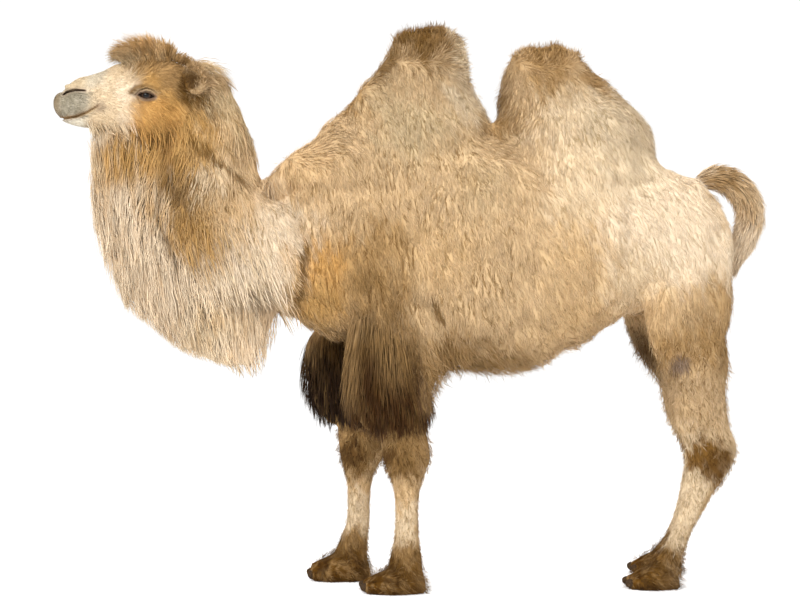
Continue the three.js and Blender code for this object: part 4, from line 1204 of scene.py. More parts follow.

# %% [markdown]
# ## Short coat
#
# Roots are scattered over the skin by area, closer together where tufts are narrower. Each tuft
# follows the grooming table. Beside a cleft it turns to run along it, and in the cleft tufts are
# flat and carry painted shade. Tips are drawn off the lines of a finer ripple, so that the coat
# parts into locks, a little lighter on the locks and darker between them as painted shade, and
# strays stand up between the others. The darker a tuft, the warmer its colour, which paints the
# warm light that fur bounces into its own shade.

# %% Scattering roots over regions
def scatter(count, chance, rng):
    """Random roots on the skin: places and normals. chance has a weight for each triangle."""
    weight = skin_areas * chance
    sure = np.cumsum(weight) / weight.sum()
    pick = np.minimum(np.searchsorted(sure, rng.random(count)), len(sure) - 1)
    a, b = rng.random(count), rng.random(count)
    over = a + b > 1  # beyond the third side, so turned back into the triangle
    a[over], b[over] = 1 - a[over], 1 - b[over]
    share = np.stack([1 - a - b, a, b], axis=1)[:, :, None]
    corners = skin_triangles[pick]
    normal = (skin_normals[corners] * share).sum(1)
    normal /= np.linalg.norm(normal, axis=1)[:, None]
    return (skin_points[corners] * share).sum(1), normal


def unit(v):
    return v / np.maximum(np.linalg.norm(v, axis=-1), 1e-9)[..., None]


def along_skin(way, normal):
    """Directions laid down onto the skin."""
    return unit(way - (way * normal).sum(-1)[..., None] * normal)


def in_region(p):
    """A name for each point: which part of the short coat it belongs to."""
    x, z = own_x(p), p[:, 2]
    names = np.full(len(p), "trunk", dtype=object)
    names[x > 330] = "rump"
    names[(z > 1702) & (x > -400)] = "humps"
    names[past_line(x, z, (-455, 1000), (-570, 1620)) > 0] = "neck"
    names[(z < 880) & (x < 200)] = "leg"
    names[(z < 960) & (x > 700)] = "leg"
    names[z < 118] = "foot"
    names[head_share(p) > 0.5] = "face"
    names[near_ear(p) < 7] = "ear"
    return names


def under_long_hair(p):
    """True where the beard, cuffs, crown tuft or tail hair covers the skin."""
    hidden = (beard(p) < -44) | (topknot(p) < -18) | (tail(p) < -14)
    for cuff in cuffs:
        hidden |= cuff(p) < -32
    return hidden


def hairless(p, on_face):
    """True in the gap of the eye, in the nostril, along the mouth, and on the soles."""
    out = np.abs(p[:, 1])
    naked = (almond(p) < 5) & (out > 50)
    naked |= (near_line(p, NOSTRIL) < 9) & (out > 20)
    naked |= near_line(p, MOUTH) < 5
    return naked & on_face | (p[:, 2] < 5)


face_centres = skin_points[skin_triangles].mean(1)
centre_region = in_region(face_centres)
covered = under_long_hair(face_centres)
bare = hairless(face_centres, centre_region == "face")
centre_width = groom(face_centres)[:, 5]

# How many tufts a region has, and the line around which its skin is laid flat.
COUNTS = {"trunk": 28000, "rump": 26000, "humps": 26000, "neck": 12000, "leg": 24000,
          "foot": 7500, "face": 22500, "ear": 3400}
AXES = {"trunk": ((-500, 0, 1250), (340, 0, 1250)), "rump": ((320, 0, 1250), (1250, 0, 1250)),
        "humps": ((-600, 0, 1700), (1000, 0, 1700)), "neck": ((-640, 0, 950), (-760, 0, 2010)),
        "face": ((-1400, 0, 1860), (-780, 0, 1860)), "leg": ((0, 0, 60), (0, 0, 1010)),
        "foot": ((0, 0, -10), (0, 0, 130)), "ear": ((-846, 0, 1860), (-860, 0, 1990))}


def bake_place(p, region):
    """Where roots lie on the region's own unwrap. Each of four legs has a quarter of the width."""
    if region in ("leg", "foot"):
        x, y = own_x(p), p[:, 1]
        middle_x = np.where(x < MIDDLE_X, -60, 1060 if region == "leg" else 900)
        angle = np.arctan2(np.abs(y) - 160, x - middle_x) / (2 * math.pi) + 0.5
        quarter = (x > MIDDLE_X) * 2 + (y > 0)
        start, end = AXES[region][0][2], AXES[region][1][2]
        up = 0.02 + 0.96 * (p[:, 2] - start) / (end - start)
        return np.stack([(quarter + 0.04 + 0.92 * angle) / 4, up], axis=1)
    return unwrapped(p, *AXES[region])


# %% Growing a short coat
# Painted warm light in shade: a darker tuft's colour turns warmer, as fur bounces warm light into its
# own shade.
WARM = np.array([0.8, 1.0, 1.45])  # the power of a tuft's shade on red, green and blue
# By how much the shade of tufts differs, and which share of them stands up as strays.
UNEVEN = {"leg": 0.3, "foot": 0.4, "face": 0.07, "ear": 0.2, "neck": 0.08}
STRAYS = {"trunk": 0.14, "leg": 0.3, "foot": 0.4, "humps": 0.16, "ear": 0.3, "face": 0.05}
EVEN_SHADE, FEW_STRAYS = 0.03, 0.1  # in all other regions
# Along and across the partings in mm, how dark their painted shade is, and which way they run.
PARTING = {"trunk": (170, 38, 0.6, -80), "rump": (150, 34, 0.34, -70), "humps": (130, 36, 0.48, -75),
           "neck": (170, 42, 0.55, -80), "leg": (70, 24, 0.75, -84), "foot": (50, 20, 0.6, -60),
           "face": (70, 15, 0.22, -42)}


def short_coat(region, seed, mat):
    rng = np.random.default_rng(seed)
    weight = np.where((centre_region == region) & ~covered & ~bare, centre_width ** -2, 0)
    count = int(COUNTS[region] * DENSITY)
    root, normal = scatter(count, weight, rng)
    comb = groom(root)
    swirl = ripple(root, 260, 200, 31, 8)[0] * 0.10
    way = np.stack([comb[:, 0], np.zeros(count), comb[:, 1]], axis=1)
    noise = rng.normal(size=(count, 3)) * 0.11
    way = along_skin(way + noise + swirl[:, None] * np.cross(normal, way), normal)
    length = comb[:, 2] * rng.uniform(0.75, 1.2, count)
    if region in ("leg", "foot"):
        way = along_skin(way + rng.normal(size=(count, 3)) * 0.42, normal)
    rise = comb[:, 4] * rng.uniform(0.75, 1.25, count)
    width = comb[:, 5] * rng.uniform(0.75, 1.12, count)
    shade = np.ones(count)
    curl = spot(root[:, 0], root[:, 2], -860, 1490, 120, 140) * (region == "neck")
    way = along_skin(way + rng.normal(size=(count, 3)) * (0.4 * curl)[:, None], normal)
    rise *= 1 + 1.2 * curl
    if region == "ear":
        upward = np.tile([0.35, 0.0, 1.0], (count, 1))
        way = along_skin(upward + rng.normal(size=(count, 3)) * 0.4, normal)
        length = rng.uniform(12, 34, count)
        width = rng.uniform(1.3, 2.6, count)
        rise = rng.uniform(0.5, 1.5, count)
    else:
        beside = fade(60, 8, near_ear(root))
        length *= 1 + 0.7 * beside
        rise *= 1 + 0.9 * beside
    pull = np.zeros((count, 3))
    if region in PARTING:
        along, apart, dark, lean = PARTING[region]
        deep, close, across = clefts(root, along, apart, 11, lean)
        if region == "face":
            long_enough = fade(9, 20, comb[:, 2])
            deep, close = deep * long_enough, close * long_enough
        line = unit(np.cross(normal, across))
        straight = (line * way).sum(1)
        line *= np.sign(straight)[:, None]
        follow = 0.85 * close * fade(0.4, 0.75, np.abs(straight))
        way = along_skin(way * (1 - follow)[:, None] + line * follow[:, None], normal)
        length *= 1 - 0.2 * deep
        rise *= 1 - 0.7 * deep
        width *= 1 - 0.2 * deep
        value, slope = ripple(root, 90, 30, 41, 12)
        pull = unit(slope) * (1.2 * fade(1.2, 0.1, np.abs(value)))[:, None]
        # Painted shade: dark in the clefts, a little lighter on the locks and darker between them.
        shade = (1.04 - dark * deep) * (1 + 0.05 * np.clip(value, -1, 1))
    stray = rng.random(count) < STRAYS.get(region, FEW_STRAYS)
    rise = np.where(stray, np.minimum(rise * 1.9 + 0.12, 1.5), rise)
    length = np.where(stray, 1.2 * length, length)
    width = np.where(stray, 0.62 * width, width)
    side = unit(np.cross(way, normal))
    # Three points of a tuft, root, middle and tip: how far out of the skin and how far along it.
    lift = [np.full(count, -0.03), 0.34 * rise + 0.04, 0.62 * rise]
    ahead = [np.full(count, -0.04), np.full(count, 0.40),
             np.sqrt(1 - np.minimum(0.62 * rise, 0.93) ** 2)]
    lift, ahead = (np.stack(rows, axis=1) * length[:, None] for rows in (lift, ahead))
    paths = root[:, None] + way[:, None] * ahead[:, :, None] + normal[:, None] * lift[:, :, None]
    paths[:, 2] += pull
    widths = np.stack([width * 0, width, width * 0], axis=1)
    uneven = UNEVEN.get(region, EVEN_SHADE)
    shade = shade * rng.uniform(1 - uneven, 1 + uneven, count)
    marks = np.repeat((markings(root) * shade[:, None] ** WARM)[:, None], 3, axis=1)
    return tufts("coat_" + region, paths, widths, side, normal, marks, bake_place(root, region),
                 rng, mat, thick=0.2)


# %% Short coat pieces
short_pieces = {region: short_coat(region, 100 + i, SHORT_HAIR)
                for i, region in enumerate(COUNTS)}

# %% [markdown]
# ## Long hair
#
# Beard, cuffs and tail are hair that fills a form. Each strand keeps its place around the form and
# runs along it, from near the core out to the surface. Strands belong to locks that share a wave,
# and their tips draw together. The crown tuft fans out from the scalp, and the locks of neck and
# jaw hang from the skin. Strands end at a ragged outline, and those of the neck at its cracks.

# %% Hair that fills a form
SPINE_STEPS = 80


def spine_of(rows):
    """Down an upright loft: rows [x, y, z, reach along x, reach along z, half width]."""
    rows = np.array(rows, float)
    s = np.linspace(rows[0, 0], rows[-1, 0], SPINE_STEPS)
    low, high, side, half = spline(rows, s).T
    middle, reach = (low + high) / 2, (high - low) / 2
    return np.stack([middle, side, s, reach, np.zeros(SPINE_STEPS), half], 1)[::-1]


ROUND_POWER = 2.2  # the section of a form, between an oval (2) and a box
FORM_END = 50.0  # mm past the end of its spine in which a form closes
LOCK_SIZE = 160.0  # mm that one radian counts for when a strand looks for its lock


def grow(spine, root_at, length, angle, rho, rng, steps, locks, gather, wave, wave_long=120.0):
    """Paths of strands in a form, and the way out of it. root_at is 0 to 1 along the spine, angle
    is around it, and rho holds how far out a strand starts and ends."""
    stretch = np.r_[0, np.cumsum(np.linalg.norm(np.diff(spine[:, :3], axis=0), axis=1))]
    total = stretch[-1]
    lock_at = rng.uniform(root_at.min(), root_at.max(), locks)
    lock_angle = rng.uniform(angle.min(), angle.max(), locks)
    nearest = np.argmin(((root_at[:, None] - lock_at) * total) ** 2 * 0.3
                        + ((angle[:, None] - lock_angle) * LOCK_SIZE) ** 2, axis=1)
    lock_phase, lock_wave = rng.uniform(0, 6.3, locks), wave * rng.uniform(0.4, 1.4, locks)
    s = np.linspace(0, 1, steps) ** 0.9
    run = root_at[:, None] * total + length[:, None] * s
    past = np.clip((run - total) / FORM_END, 0, 1)
    at = np.clip(run, 0, total)
    row = np.stack([np.interp(at, stretch, spine[:, c]) for c in range(6)], axis=2)
    turn = angle[:, None] + (lock_angle[nearest] - angle)[:, None] * gather * s ** 1.5
    sway = np.sin(at / wave_long * 2 * math.pi + lock_phase[nearest, None])
    turn = turn + (lock_wave[nearest] / 120.0)[:, None] * s * sway
    c, d = np.cos(turn), np.sin(turn)
    round_off = (np.abs(c) ** ROUND_POWER + np.abs(d) ** ROUND_POWER) ** (-1 / ROUND_POWER)
    out = rho[0][:, None] + (rho[1] - rho[0])[:, None] * s ** 0.6
    out = out * round_off * np.sqrt(1 - past ** 2 * 0.8)
    reach = [row[:, :, 3] * c * out, row[:, :, 5] * d * out, row[:, :, 4] * c * out]
    paths = row[:, :, :3] + np.stack(reach, axis=2)
    overshoot = np.clip(run - total, 0, 60)
    ending = unit(spine[-1, :3] - spine[-4, :3])
    paths += ending * overshoot[:, :, None]
    outward = unit(paths[:, steps // 2] - row[:, steps // 2, :3])
    return paths, outward


def long_hair(name, axis, paths, outward, width, rng, mark_at=None):
    """Strands as one piece, unwrapped around an axis, in the markings unless mark_at gives others."""
    n, m, _ = paths.shape
    way = unit(paths[:, -1] - paths[:, 0])
    up = along_skin(outward, way)
    side = unit(np.cross(way, up))
    taper = np.sin(np.linspace(0.18, 1.0, m) * math.pi * 0.94) ** 0.6
    taper[0] = taper[-1] = 0
    widths = width[:, None] * taper
    if mark_at is None:
        marks = markings(paths.reshape(-1, 3)).reshape(n, m, 3)
    else:
        marks = mark_at(paths)
    root_uv = unwrapped(paths[:, 0], *axis)
    return tufts(name, paths, widths, side, up, marks, root_uv, rng, LONG_HAIR, thick=0.3)


def noisy_shade(points, along, seed, depth):
    """A shade near 1 that differs from strand to strand."""
    return 1 + depth * ripple(points, along, 16, seed, 8)[0][:, None]


def cut_outside(paths, field, over):
    """Ends each path where it would leave a form by more than over mm, which makes ragged edges."""
    n, m, _ = paths.shape
    out = field(paths.reshape(-1, 3)).reshape(n, m) - np.reshape(over, (-1, 1))
    out[:, :2] = np.minimum(out[:, :2], -1)
    first = np.where((out > 0).any(1), (out > 0).argmax(1), m - 1)
    row = np.arange(n)
    a, b = out[row, first - 1], out[row, first]
    end = np.where(b > 0, first - 1 + a / np.minimum(a - b, -1e-6), m - 1.0)
    at = np.linspace(0, 1, m)[None] * end[:, None]
    low = np.minimum(at.astype(int), m - 2)
    t = (at - low)[:, :, None]
    return paths[row[:, None], low] * (1 - t) + paths[row[:, None], low + 1] * t


# %% Beard
def beard_marks(paths):
    """The markings of the skin, in strands that differ a little."""
    p = paths.reshape(-1, 3)
    streak = ripple(p, 300, 40, 51, 8)[0]
    colour = stained(markings(p), ("cream", fade(0.2, 1.2, streak) * 0.35),
                     ("gold", fade(0.4, 1.2, -streak) * 0.35))
    return (colour * noisy_shade(p, 500, 52, 0.08)).reshape(paths.shape)


def grow_beard():
    """Strands of the beard, which fall straight for most of their length and wave a little."""
    rng = np.random.default_rng(200)
    n = int(7800 * DENSITY)
    spine = spine_of(BEARD + [[1775, -1215, -880, 0, 60]])
    root_at = rng.random(n) * 0.84
    reach = np.where(root_at > 0.5, 3.1, 1.9)
    even = (root_at > 0.45) | (rng.random(n) < 0.4)
    spread = rng.uniform(-2.8, 2.8, n)
    angle = math.pi + np.where(even, spread, np.clip(rng.normal(0, 1.15, n), -reach, reach))
    length = rng.uniform(110, 270, n)
    start = rng.uniform(0.5, 0.9, n)
    in_front = (np.cos(angle) < -0.35) & (root_at < 0.4)
    rho = (np.where(in_front, 0.55 + 0.5 * start, start), rng.uniform(0.8, 1.0, n))
    paths, outward = grow(spine, root_at, length, angle, rho, rng, steps=6, locks=420,
                          gather=0.6, wave=9, wave_long=110)
    s = np.linspace(0, 1, 6)
    front = np.interp(paths[:, 0, 2], [834, 1236, 1725], [-716, -1193, -1254])
    forward = fade(1330, 1560, paths[:, 0, 2]) * fade(60, 260, paths[:, 0, 0] - front)
    sweep = 16 + 22 * ripple(paths[:, 0], 320, 70, 55, 8)[0] - 0.5 * length * forward
    fall = paths[:, :1, 0] + (sweep + rng.uniform(-8, 8, n))[:, None] * s
    paths[:, :, 0] = 0.3 * paths[:, :, 0] + 0.7 * fall
    phase = 5 * ripple(paths[:, 0], 260, 60, 56, 8)[0] + rng.uniform(-0.5, 0.5, n)
    paths[:, :, 0] += 10 * np.sin(s * 5.5 + phase[:, None]) * s
    paths = cut_outside(paths, beard, rng.uniform(-6, 16, n))
    return long_hair("beard_hair", ((-900, 0, 820), (-1000, 0, 1760)), paths, outward,
                     rng.uniform(2.6, 4.8, n), rng, mark_at=beard_marks)


# %% Cuffs
def cuff_marks(side):
    """Dark below and the markings of the skin above. The left cuff has paler places."""
    def marks(paths):
        p = paths.reshape(-1, 3)
        x, z = own_x(p), p[:, 2]
        dark = "black_brown" if side == RIGHT else "dark_brown"
        depth = 0.56 if side == RIGHT else 0.82
        colour = stained(np.tile(COLOURS["brown"], (len(p), 1)),
                         (dark, fade(980, 800, z + 40 * ripple(p, 200, 60, 63, 8)[0])))
        colour = colour + (markings(p) - colour) * fade(850, 1010, z)[:, None]
        if side == LEFT:
            colour = stained(colour, ("tan", spot(x, z, -110, 940, 80, 150, 0.6) * 0.7),
                             ("tan", spot(x, z, -285, 860, 45, 170, 0.6) * 0.7),
                             ("mauve", fade(-40, 50, x) * fade(640, 740, z) * 0.8),
                             ("tan", fade(-30, 40, x) * fade(640, 740, z) * 0.7))
        streak = ripple(p, 300, 40, 61, 8)[0]
        colour = stained(colour, ("umber", fade(0.2, 1.0, streak) * 0.35))
        colour *= noisy_shade(p, 400, 62, 0.14) * depth
        return colour.reshape(paths.shape)
    return marks


# The lower edge of each cuff, as places x and the heights there. The bake map of a cuff turns
# around its middle.
HEMS = {LEFT: ((-300, -220, -166, 0, 60, 104), (650, 622, 574, 574, 614, 676)),
        RIGHT: ((-460, -400, -340, -260, -160), (760, 690, 640, 612, 620))}
CUFF_MIDDLE = {LEFT: -120, RIGHT: -280}


def grow_cuff(side):
    rng = np.random.default_rng(210 + side)
    n = int(5000 * DENSITY)
    rows = cuff_rows(side)
    low, top = rows[0], rows[-1]
    spine = spine_of([[575, low[1] + 20, low[2] - 20, low[3], 76], *rows,
                      [1085, top[1] + 6, top[2] + 30, top[3], 104]])
    root_at = rng.random(n) * 0.9
    angle = rng.uniform(-math.pi, math.pi, n)
    length = rng.uniform(70, 170, n)
    rho = (rng.uniform(0.5, 0.82, n), rng.uniform(0.8, 1.02, n))
    paths, outward = grow(spine, root_at, length, angle, rho, rng, steps=5, locks=260, gather=0.5,
                          wave=4, wave_long=110)
    s = np.linspace(0, 1, 5)
    from_x = paths[:, :1, 0] - (-130 if side == LEFT else -300)
    fall = paths[:, :1, 0] + (8 + 0.22 * from_x + rng.uniform(-12, 12, n)[:, None]) * s
    paths[:, :, 0] = 0.25 * paths[:, :, 0] + 0.75 * fall
    ragged = rng.uniform(-20, 20, n) + 16 * (rng.random(n) < 0.14)
    paths = cut_outside(paths, cuffs[0 if side == LEFT else 1], ragged)

    def below_hem(p):
        return np.interp(own_x(p), *HEMS[side]) + 26 * ripple(p, 200, 34, 64, 8)[0] - p[:, 2]
    paths = cut_outside(paths, below_hem, rng.uniform(-24, 24, n))
    paths[:, :, 1] = side * np.maximum(side * paths[:, :, 1], 7)
    ends = [(CUFF_MIDDLE[side], side * 165, z) for z in (600, 1040)]
    return long_hair("cuff_hair_" + SIDE_NAMES[side], ends, paths, outward,
                     rng.uniform(2.4, 4.6, n), rng, mark_at=cuff_marks(side))


# %% Crown tuft and tail
def crown_marks(paths):
    p = paths.reshape(-1, 3)
    x, z = p[:, 0], p[:, 2]
    colour = stained(np.tile(COLOURS["tan"], (len(p), 1)),
                     ("sand", fade(-0.8, 0.6, ripple(p, 120, 30, 71, 8)[0]) * 0.7),
                     ("umber", fade(-985, -930, x) * fade(-810, -850, x) * 0.5),
                     ("grey_sand", fade(-850, -790, x) * 0.7),
                     ("gold", fade(2040, 2100, z) * fade(-980, -1040, x) * 0.4),
                     ("grey_sand", fade(2060, 1990, z) * fade(-1000, -1090, x) * 0.85))
    return (colour * noisy_shade(p, 160, 72, 0.14)).reshape(paths.shape)


def scalp(x, y):
    """Points on top of the bare head."""
    p = np.stack([x, y, np.full(len(x), 2090.0)], 1)
    for _ in range(16):
        p[:, 2] -= 0.8 * np.clip(bare_head(p), -20, 60)
    return p


def grow_crown_tuft():
    """Strands that fan out from the crown: forward over the forehead, up in the middle, then back."""
    rng = np.random.default_rng(220)
    n, nape = int(5000 * DENSITY), int(340 * DENSITY)
    count = n + nape
    # u is 0 at the forehead and 1 at the back of the crown. Strands of the nape have u = 1.
    u = rng.random(n)
    u = np.where(rng.random(n) < 0.74, 0.6 * u, 0.6 + 0.4 * u)
    u = np.r_[u, np.full(nape, 1.0)]
    x = np.r_[-1116 + 290 * u[:n], rng.uniform(-880, -826, nape)]
    root = scalp(x, np.clip(rng.normal(0, 27, count), -60, 60))
    root[:, 2] -= 5
    turn = np.interp(u, [0, 0.2, 0.42, 0.6, 0.8, 0.99, 1], [168, 150, 114, 82, 50, 24, -12])
    fray = np.interp(u, [0, 0.3, 0.6, 1], [20, 15, 11, 9])
    turn = np.radians(turn + rng.normal(0, 1, count) * fray)
    reach = np.interp(u, [0, 0.16, 0.4, 0.55, 0.65, 0.99, 1], [88, 132, 124, 100, 56, 40, 150])
    reach = reach * rng.uniform(0.38, 1.1, count)
    splay = root[:, 1] / 60 * 0.6 + rng.normal(0, 0.12, count)
    way = unit(np.stack([np.cos(turn), splay, np.sin(turn)], 1))
    first = unit(np.stack([0.5 * np.cos(turn), 0.6 * splay, 0.6 * np.sin(turn) + 0.5], 1))
    s = np.linspace(0, 1, 5)[None, :, None]
    bow = first[:, None] * 1.1 * s * (1 - s) + way[:, None] * 0.96 * s ** 2
    paths = root[:, None] + reach[:, None, None] * bow
    leaders = rng.integers(0, n, int(110 * max(DENSITY, 0.5)))
    own = np.argmin(((root[:, None] - root[leaders]) ** 2).sum(2), 1)
    pull = paths[leaders][own, -1] - paths[:, -1]
    pull *= fade(75, 45, np.linalg.norm(pull, axis=1))[:, None] * 0.5
    paths += pull[:, None] * s ** 2
    curl = rng.uniform(0, 6.3, count)[:, None] + s[:, :, 0] * 4
    paths[:, :, 1] += np.sin(curl) * s[:, :, 0] * 4
    ragged = rng.uniform(-38, 16, n) + 26 * (rng.random(n) < 0.2) + 14 * (u[:n] > 0.6)
    paths[:n] = cut_outside(paths[:n], topknot, ragged)
    return long_hair("crown_hair", ((-1180, 0, 1970), (-840, 0, 1970)), paths, first,
                     rng.uniform(1.7, 3.6, count), rng, mark_at=crown_marks)


def grow_tail():
    rng = np.random.default_rng(230)
    n = int(2800 * DENSITY)
    points = np.array([[1100, 0, 1560, 40], [1180, 0, 1580, 52], [1258, 0, 1554, 60], *TAIL[3:]],
                      float)
    rows = spline(np.c_[np.arange(len(points)), points], np.linspace(0, len(points) - 1, 60))
    forward = unit(np.gradient(rows[:, [0, 2]], axis=0))
    spine = np.stack([rows[:, 0], rows[:, 1], rows[:, 2], forward[:, 1] * rows[:, 3],
                      -forward[:, 0] * rows[:, 3], TAIL_SQUASH * rows[:, 3]], axis=1)
    root_at = rng.random(n) ** 0.85 * 0.93
    angle = rng.uniform(-math.pi, math.pi, n)
    length = rng.uniform(50, 110, n)
    rho = (rng.uniform(0.42, 0.75, n), rng.uniform(0.8, 1.02, n))
    paths, outward = grow(spine, root_at, length, angle, rho, rng, steps=5, locks=150,
                          gather=0.3, wave=4)
    flare = np.linspace(0, 1, 5) ** 2
    paths += outward[:, None] * (rng.uniform(-8, 16, n)[:, None] * flare)[:, :, None]
    return long_hair("tail_hair", ((1290, 0, 1180), (1290, 0, 1620)), paths, outward,
                     rng.uniform(2.6, 4.8, n), rng)


def neck_chance():
    """How likely each face of the skin is to carry a long lock of the neck or the jaw."""
    x, z = face_centres[:, 0], face_centres[:, 2]
    back = np.interp(z, [950, 1200, 1400, 1600, 1800, 2000], [-430, -430, -520, -600, -640, -700])
    mane = fade(90, 0, np.abs(back - x)) * fade(1500, 1750, z)
    chance = ((centre_region == "neck") & ~covered & (z > 850)) * fade(2010, 1940, z)
    chance = chance * (0.35 + 0.65 * fade(80, 260, back - x)) + chance * mane
    chance *= 1 - 0.6 * spot(x, z, -850, 1480, 90, 100)
    chance *= 1 + 1.6 * spot(x, z, -900, 1660, 60, 150)
    chance = chance * (near_crack(face_centres) > CRACK_CLEAR)
    jaw = (centre_region == "face") & (x > -1256)
    return chance + jaw * fade(1800, 1750, z) * (2.2 + 9.0 * fade(-1060, -1150, x))


CRACK_CLEAR, CRACK_CUT = 16, 9  # mm from a crack for the roots of locks, and for their tips


def grow_neck_locks():
    """Long soft locks over the sides of the neck and its base, and below the jaw."""
    rng = np.random.default_rng(240)
    n = int(5800 * DENSITY)
    root, normal = scatter(n, neck_chance(), rng)
    comb = groom(root)
    gather, slope = ripple(root, 260, 52, 43, 12)
    way = np.stack([comb[:, 0], np.zeros(n), comb[:, 1]], 1)
    way = along_skin(way + rng.normal(size=(n, 3)) * 0.1, normal)
    hanging = (head_share(root) > 0.5) * fade(-1030, -1130, root[:, 0])
    way = along_skin(way + hanging[:, None] * np.array([-0.1, 0, -1.6]), normal)
    forward = fade(1380, 1560, root[:, 2]) * fade(-640, -760, root[:, 0])
    forward = forward * fade(1800, 1740, root[:, 2]) * (1 - hanging)
    way = along_skin(way - np.array([0.62, 0, 0]) * forward[:, None], normal)
    pull = along_skin(unit(slope), normal) * fade(1.2, 0.0, np.abs(gather))[:, None]
    length = rng.uniform(80, 150, n) * (0.62 + 0.38 * fade(1900, 1500, root[:, 2]))
    on_jaw = head_share(root) > 0.5
    length *= np.where(on_jaw, 0.95 + 0.25 * fade(-1200, -1050, root[:, 0]), 1)
    s = np.linspace(0, 1, 5)[None, :, None]
    down = np.array([0.12, 0, -1.0])
    wave = np.sin(s * 5.5 + rng.uniform(0, 6.3, n)[:, None, None]) * s
    arc = way[:, None] * s + normal[:, None] * (0.22 * s - 0.13 * s ** 2)
    paths = root[:, None] + arc * length[:, None, None]
    paths = paths + (down - way)[:, None] * (0.25 * s ** 2) * length[:, None, None]
    paths = paths + pull[:, None] * (10 * s ** 1.5) + unit(np.cross(way, normal))[:, None] * wave * 3
    # Painted shade between the locks: the colour rises and falls with the ripple that gathers them.
    shade = 1 + 0.10 * np.clip(gather, -1, 1)
    marks = markings(root) * shade[:, None] ** WARM
    paths = cut_outside(paths, lambda p: CRACK_CUT - near_crack(p), 0.0)
    return long_hair("neck_hair", AXES["neck"], paths, normal, rng.uniform(2.8, 5.2, n), rng,
                     mark_at=lambda paths: np.repeat(marks[:, None], paths.shape[1], axis=1))


beard_hair = grow_beard()
neck_hair = grow_neck_locks()
cuff_hair = {side: grow_cuff(side) for side in (LEFT, RIGHT)}
crown_hair = grow_crown_tuft()
tail_hair = grow_tail()

# %% [markdown]
# ## Eyes
#
# An eye is a ball that fits behind the lids, with a wet bulging front. The iris is dark brown and
# the pupil a wide oval, so the eye reads as almost black. Lashes hang from the upper lid.

# %% Eyeballs and lashes
def ball(radii, across, up):
    """Points and quads of an ellipsoid. Each pole ends in a very small ring."""
    lat = np.linspace(0.02, math.pi - 0.02, up)
    lon = np.arange(across) * 2 * math.pi / across
    a, b = np.meshgrid(lat, lon, indexing="ij")
    sphere = np.stack([np.sin(a) * np.cos(b), np.sin(a) * np.sin(b), np.cos(a)], axis=-1)
    i, j = np.meshgrid(np.arange(up - 1), np.arange(across), indexing="ij")
    k = (j + 1) % across
    here, below = i * across, (i + 1) * across
    quads = np.stack([here + j, below + j, below + k, here + k], -1).reshape(-1, 4)
    return sphere.reshape(-1, 3) * radii, quads


def eye_material():
    mat = material("wet eye", 0.03, CORNEA_IOR)
    parts = node(mat, "ShaderNodeSeparateXYZ", i0=attribute(mat, "iris"))
    ramp = node(mat, "ShaderNodeValToRGB", i0=parts.outputs[0])
    stops = ramp.color_ramp.elements
    stops[0].position, stops[1].position = 0.0, 1.0
    stops[0].color, stops[1].color = (0.004, 0.003, 0.003, 1), (*linear("6a5a50"), 1)
    for place, text in ((0.34, "0a0605"), (0.42, "3a2413"), (0.70, "2a190d"), (0.80, "150d08"),
                        (0.90, "4a3a30")):
        stop = stops.new(place)
        stop.color = (*linear(text), 1)
    attach(mat, "Base Color", ramp.outputs[0])
    return mat


WET_EYE = eye_material()
BALL_RADIUS = EYE_RADIUS - 0.5
DOME_OUT, DOME_RADIUS = 11.5, 16.5  # the clear front is part of a smaller ball further out
IRIS_REACH = 25.0


def eyeball(side):
    points, quads = ball(BALL_RADIUS, 48, 32)
    points = np.stack([points[:, 0], side * points[:, 2], points[:, 1]], 1)
    quads = quads[:, ::-1] if side == RIGHT else quads
    front = np.clip(side * points[:, 1] / EYE_RADIUS, 0, 1)
    inner = DOME_RADIUS ** 2 - DOME_OUT ** 2 * (1 - front ** 2)
    dome = DOME_OUT * front + np.sqrt(np.maximum(inner, 0))
    points *= np.where(front > 0.8, np.maximum(1, dome / BALL_RADIUS), 1)[:, None]
    across, up = points[:, 0] / IRIS_REACH, points[:, 2] / IRIS_REACH
    pupil = np.hypot(across * 0.62, up * 1.15)
    iris = np.hypot(across, up)
    ring = np.where(front > 0, iris + (pupil - iris) * fade(0.6, 0.3, iris), 1.2)
    return new_piece("eyeball_" + SIDE_NAMES[side], points + np.array(eye_centre(side)), quads,
                     WET_EYE, {"iris": np.stack([ring, ring, ring], 1)})


LASHES, LID_POWER, LID_RADIUS = 44, 1.75, 31.0


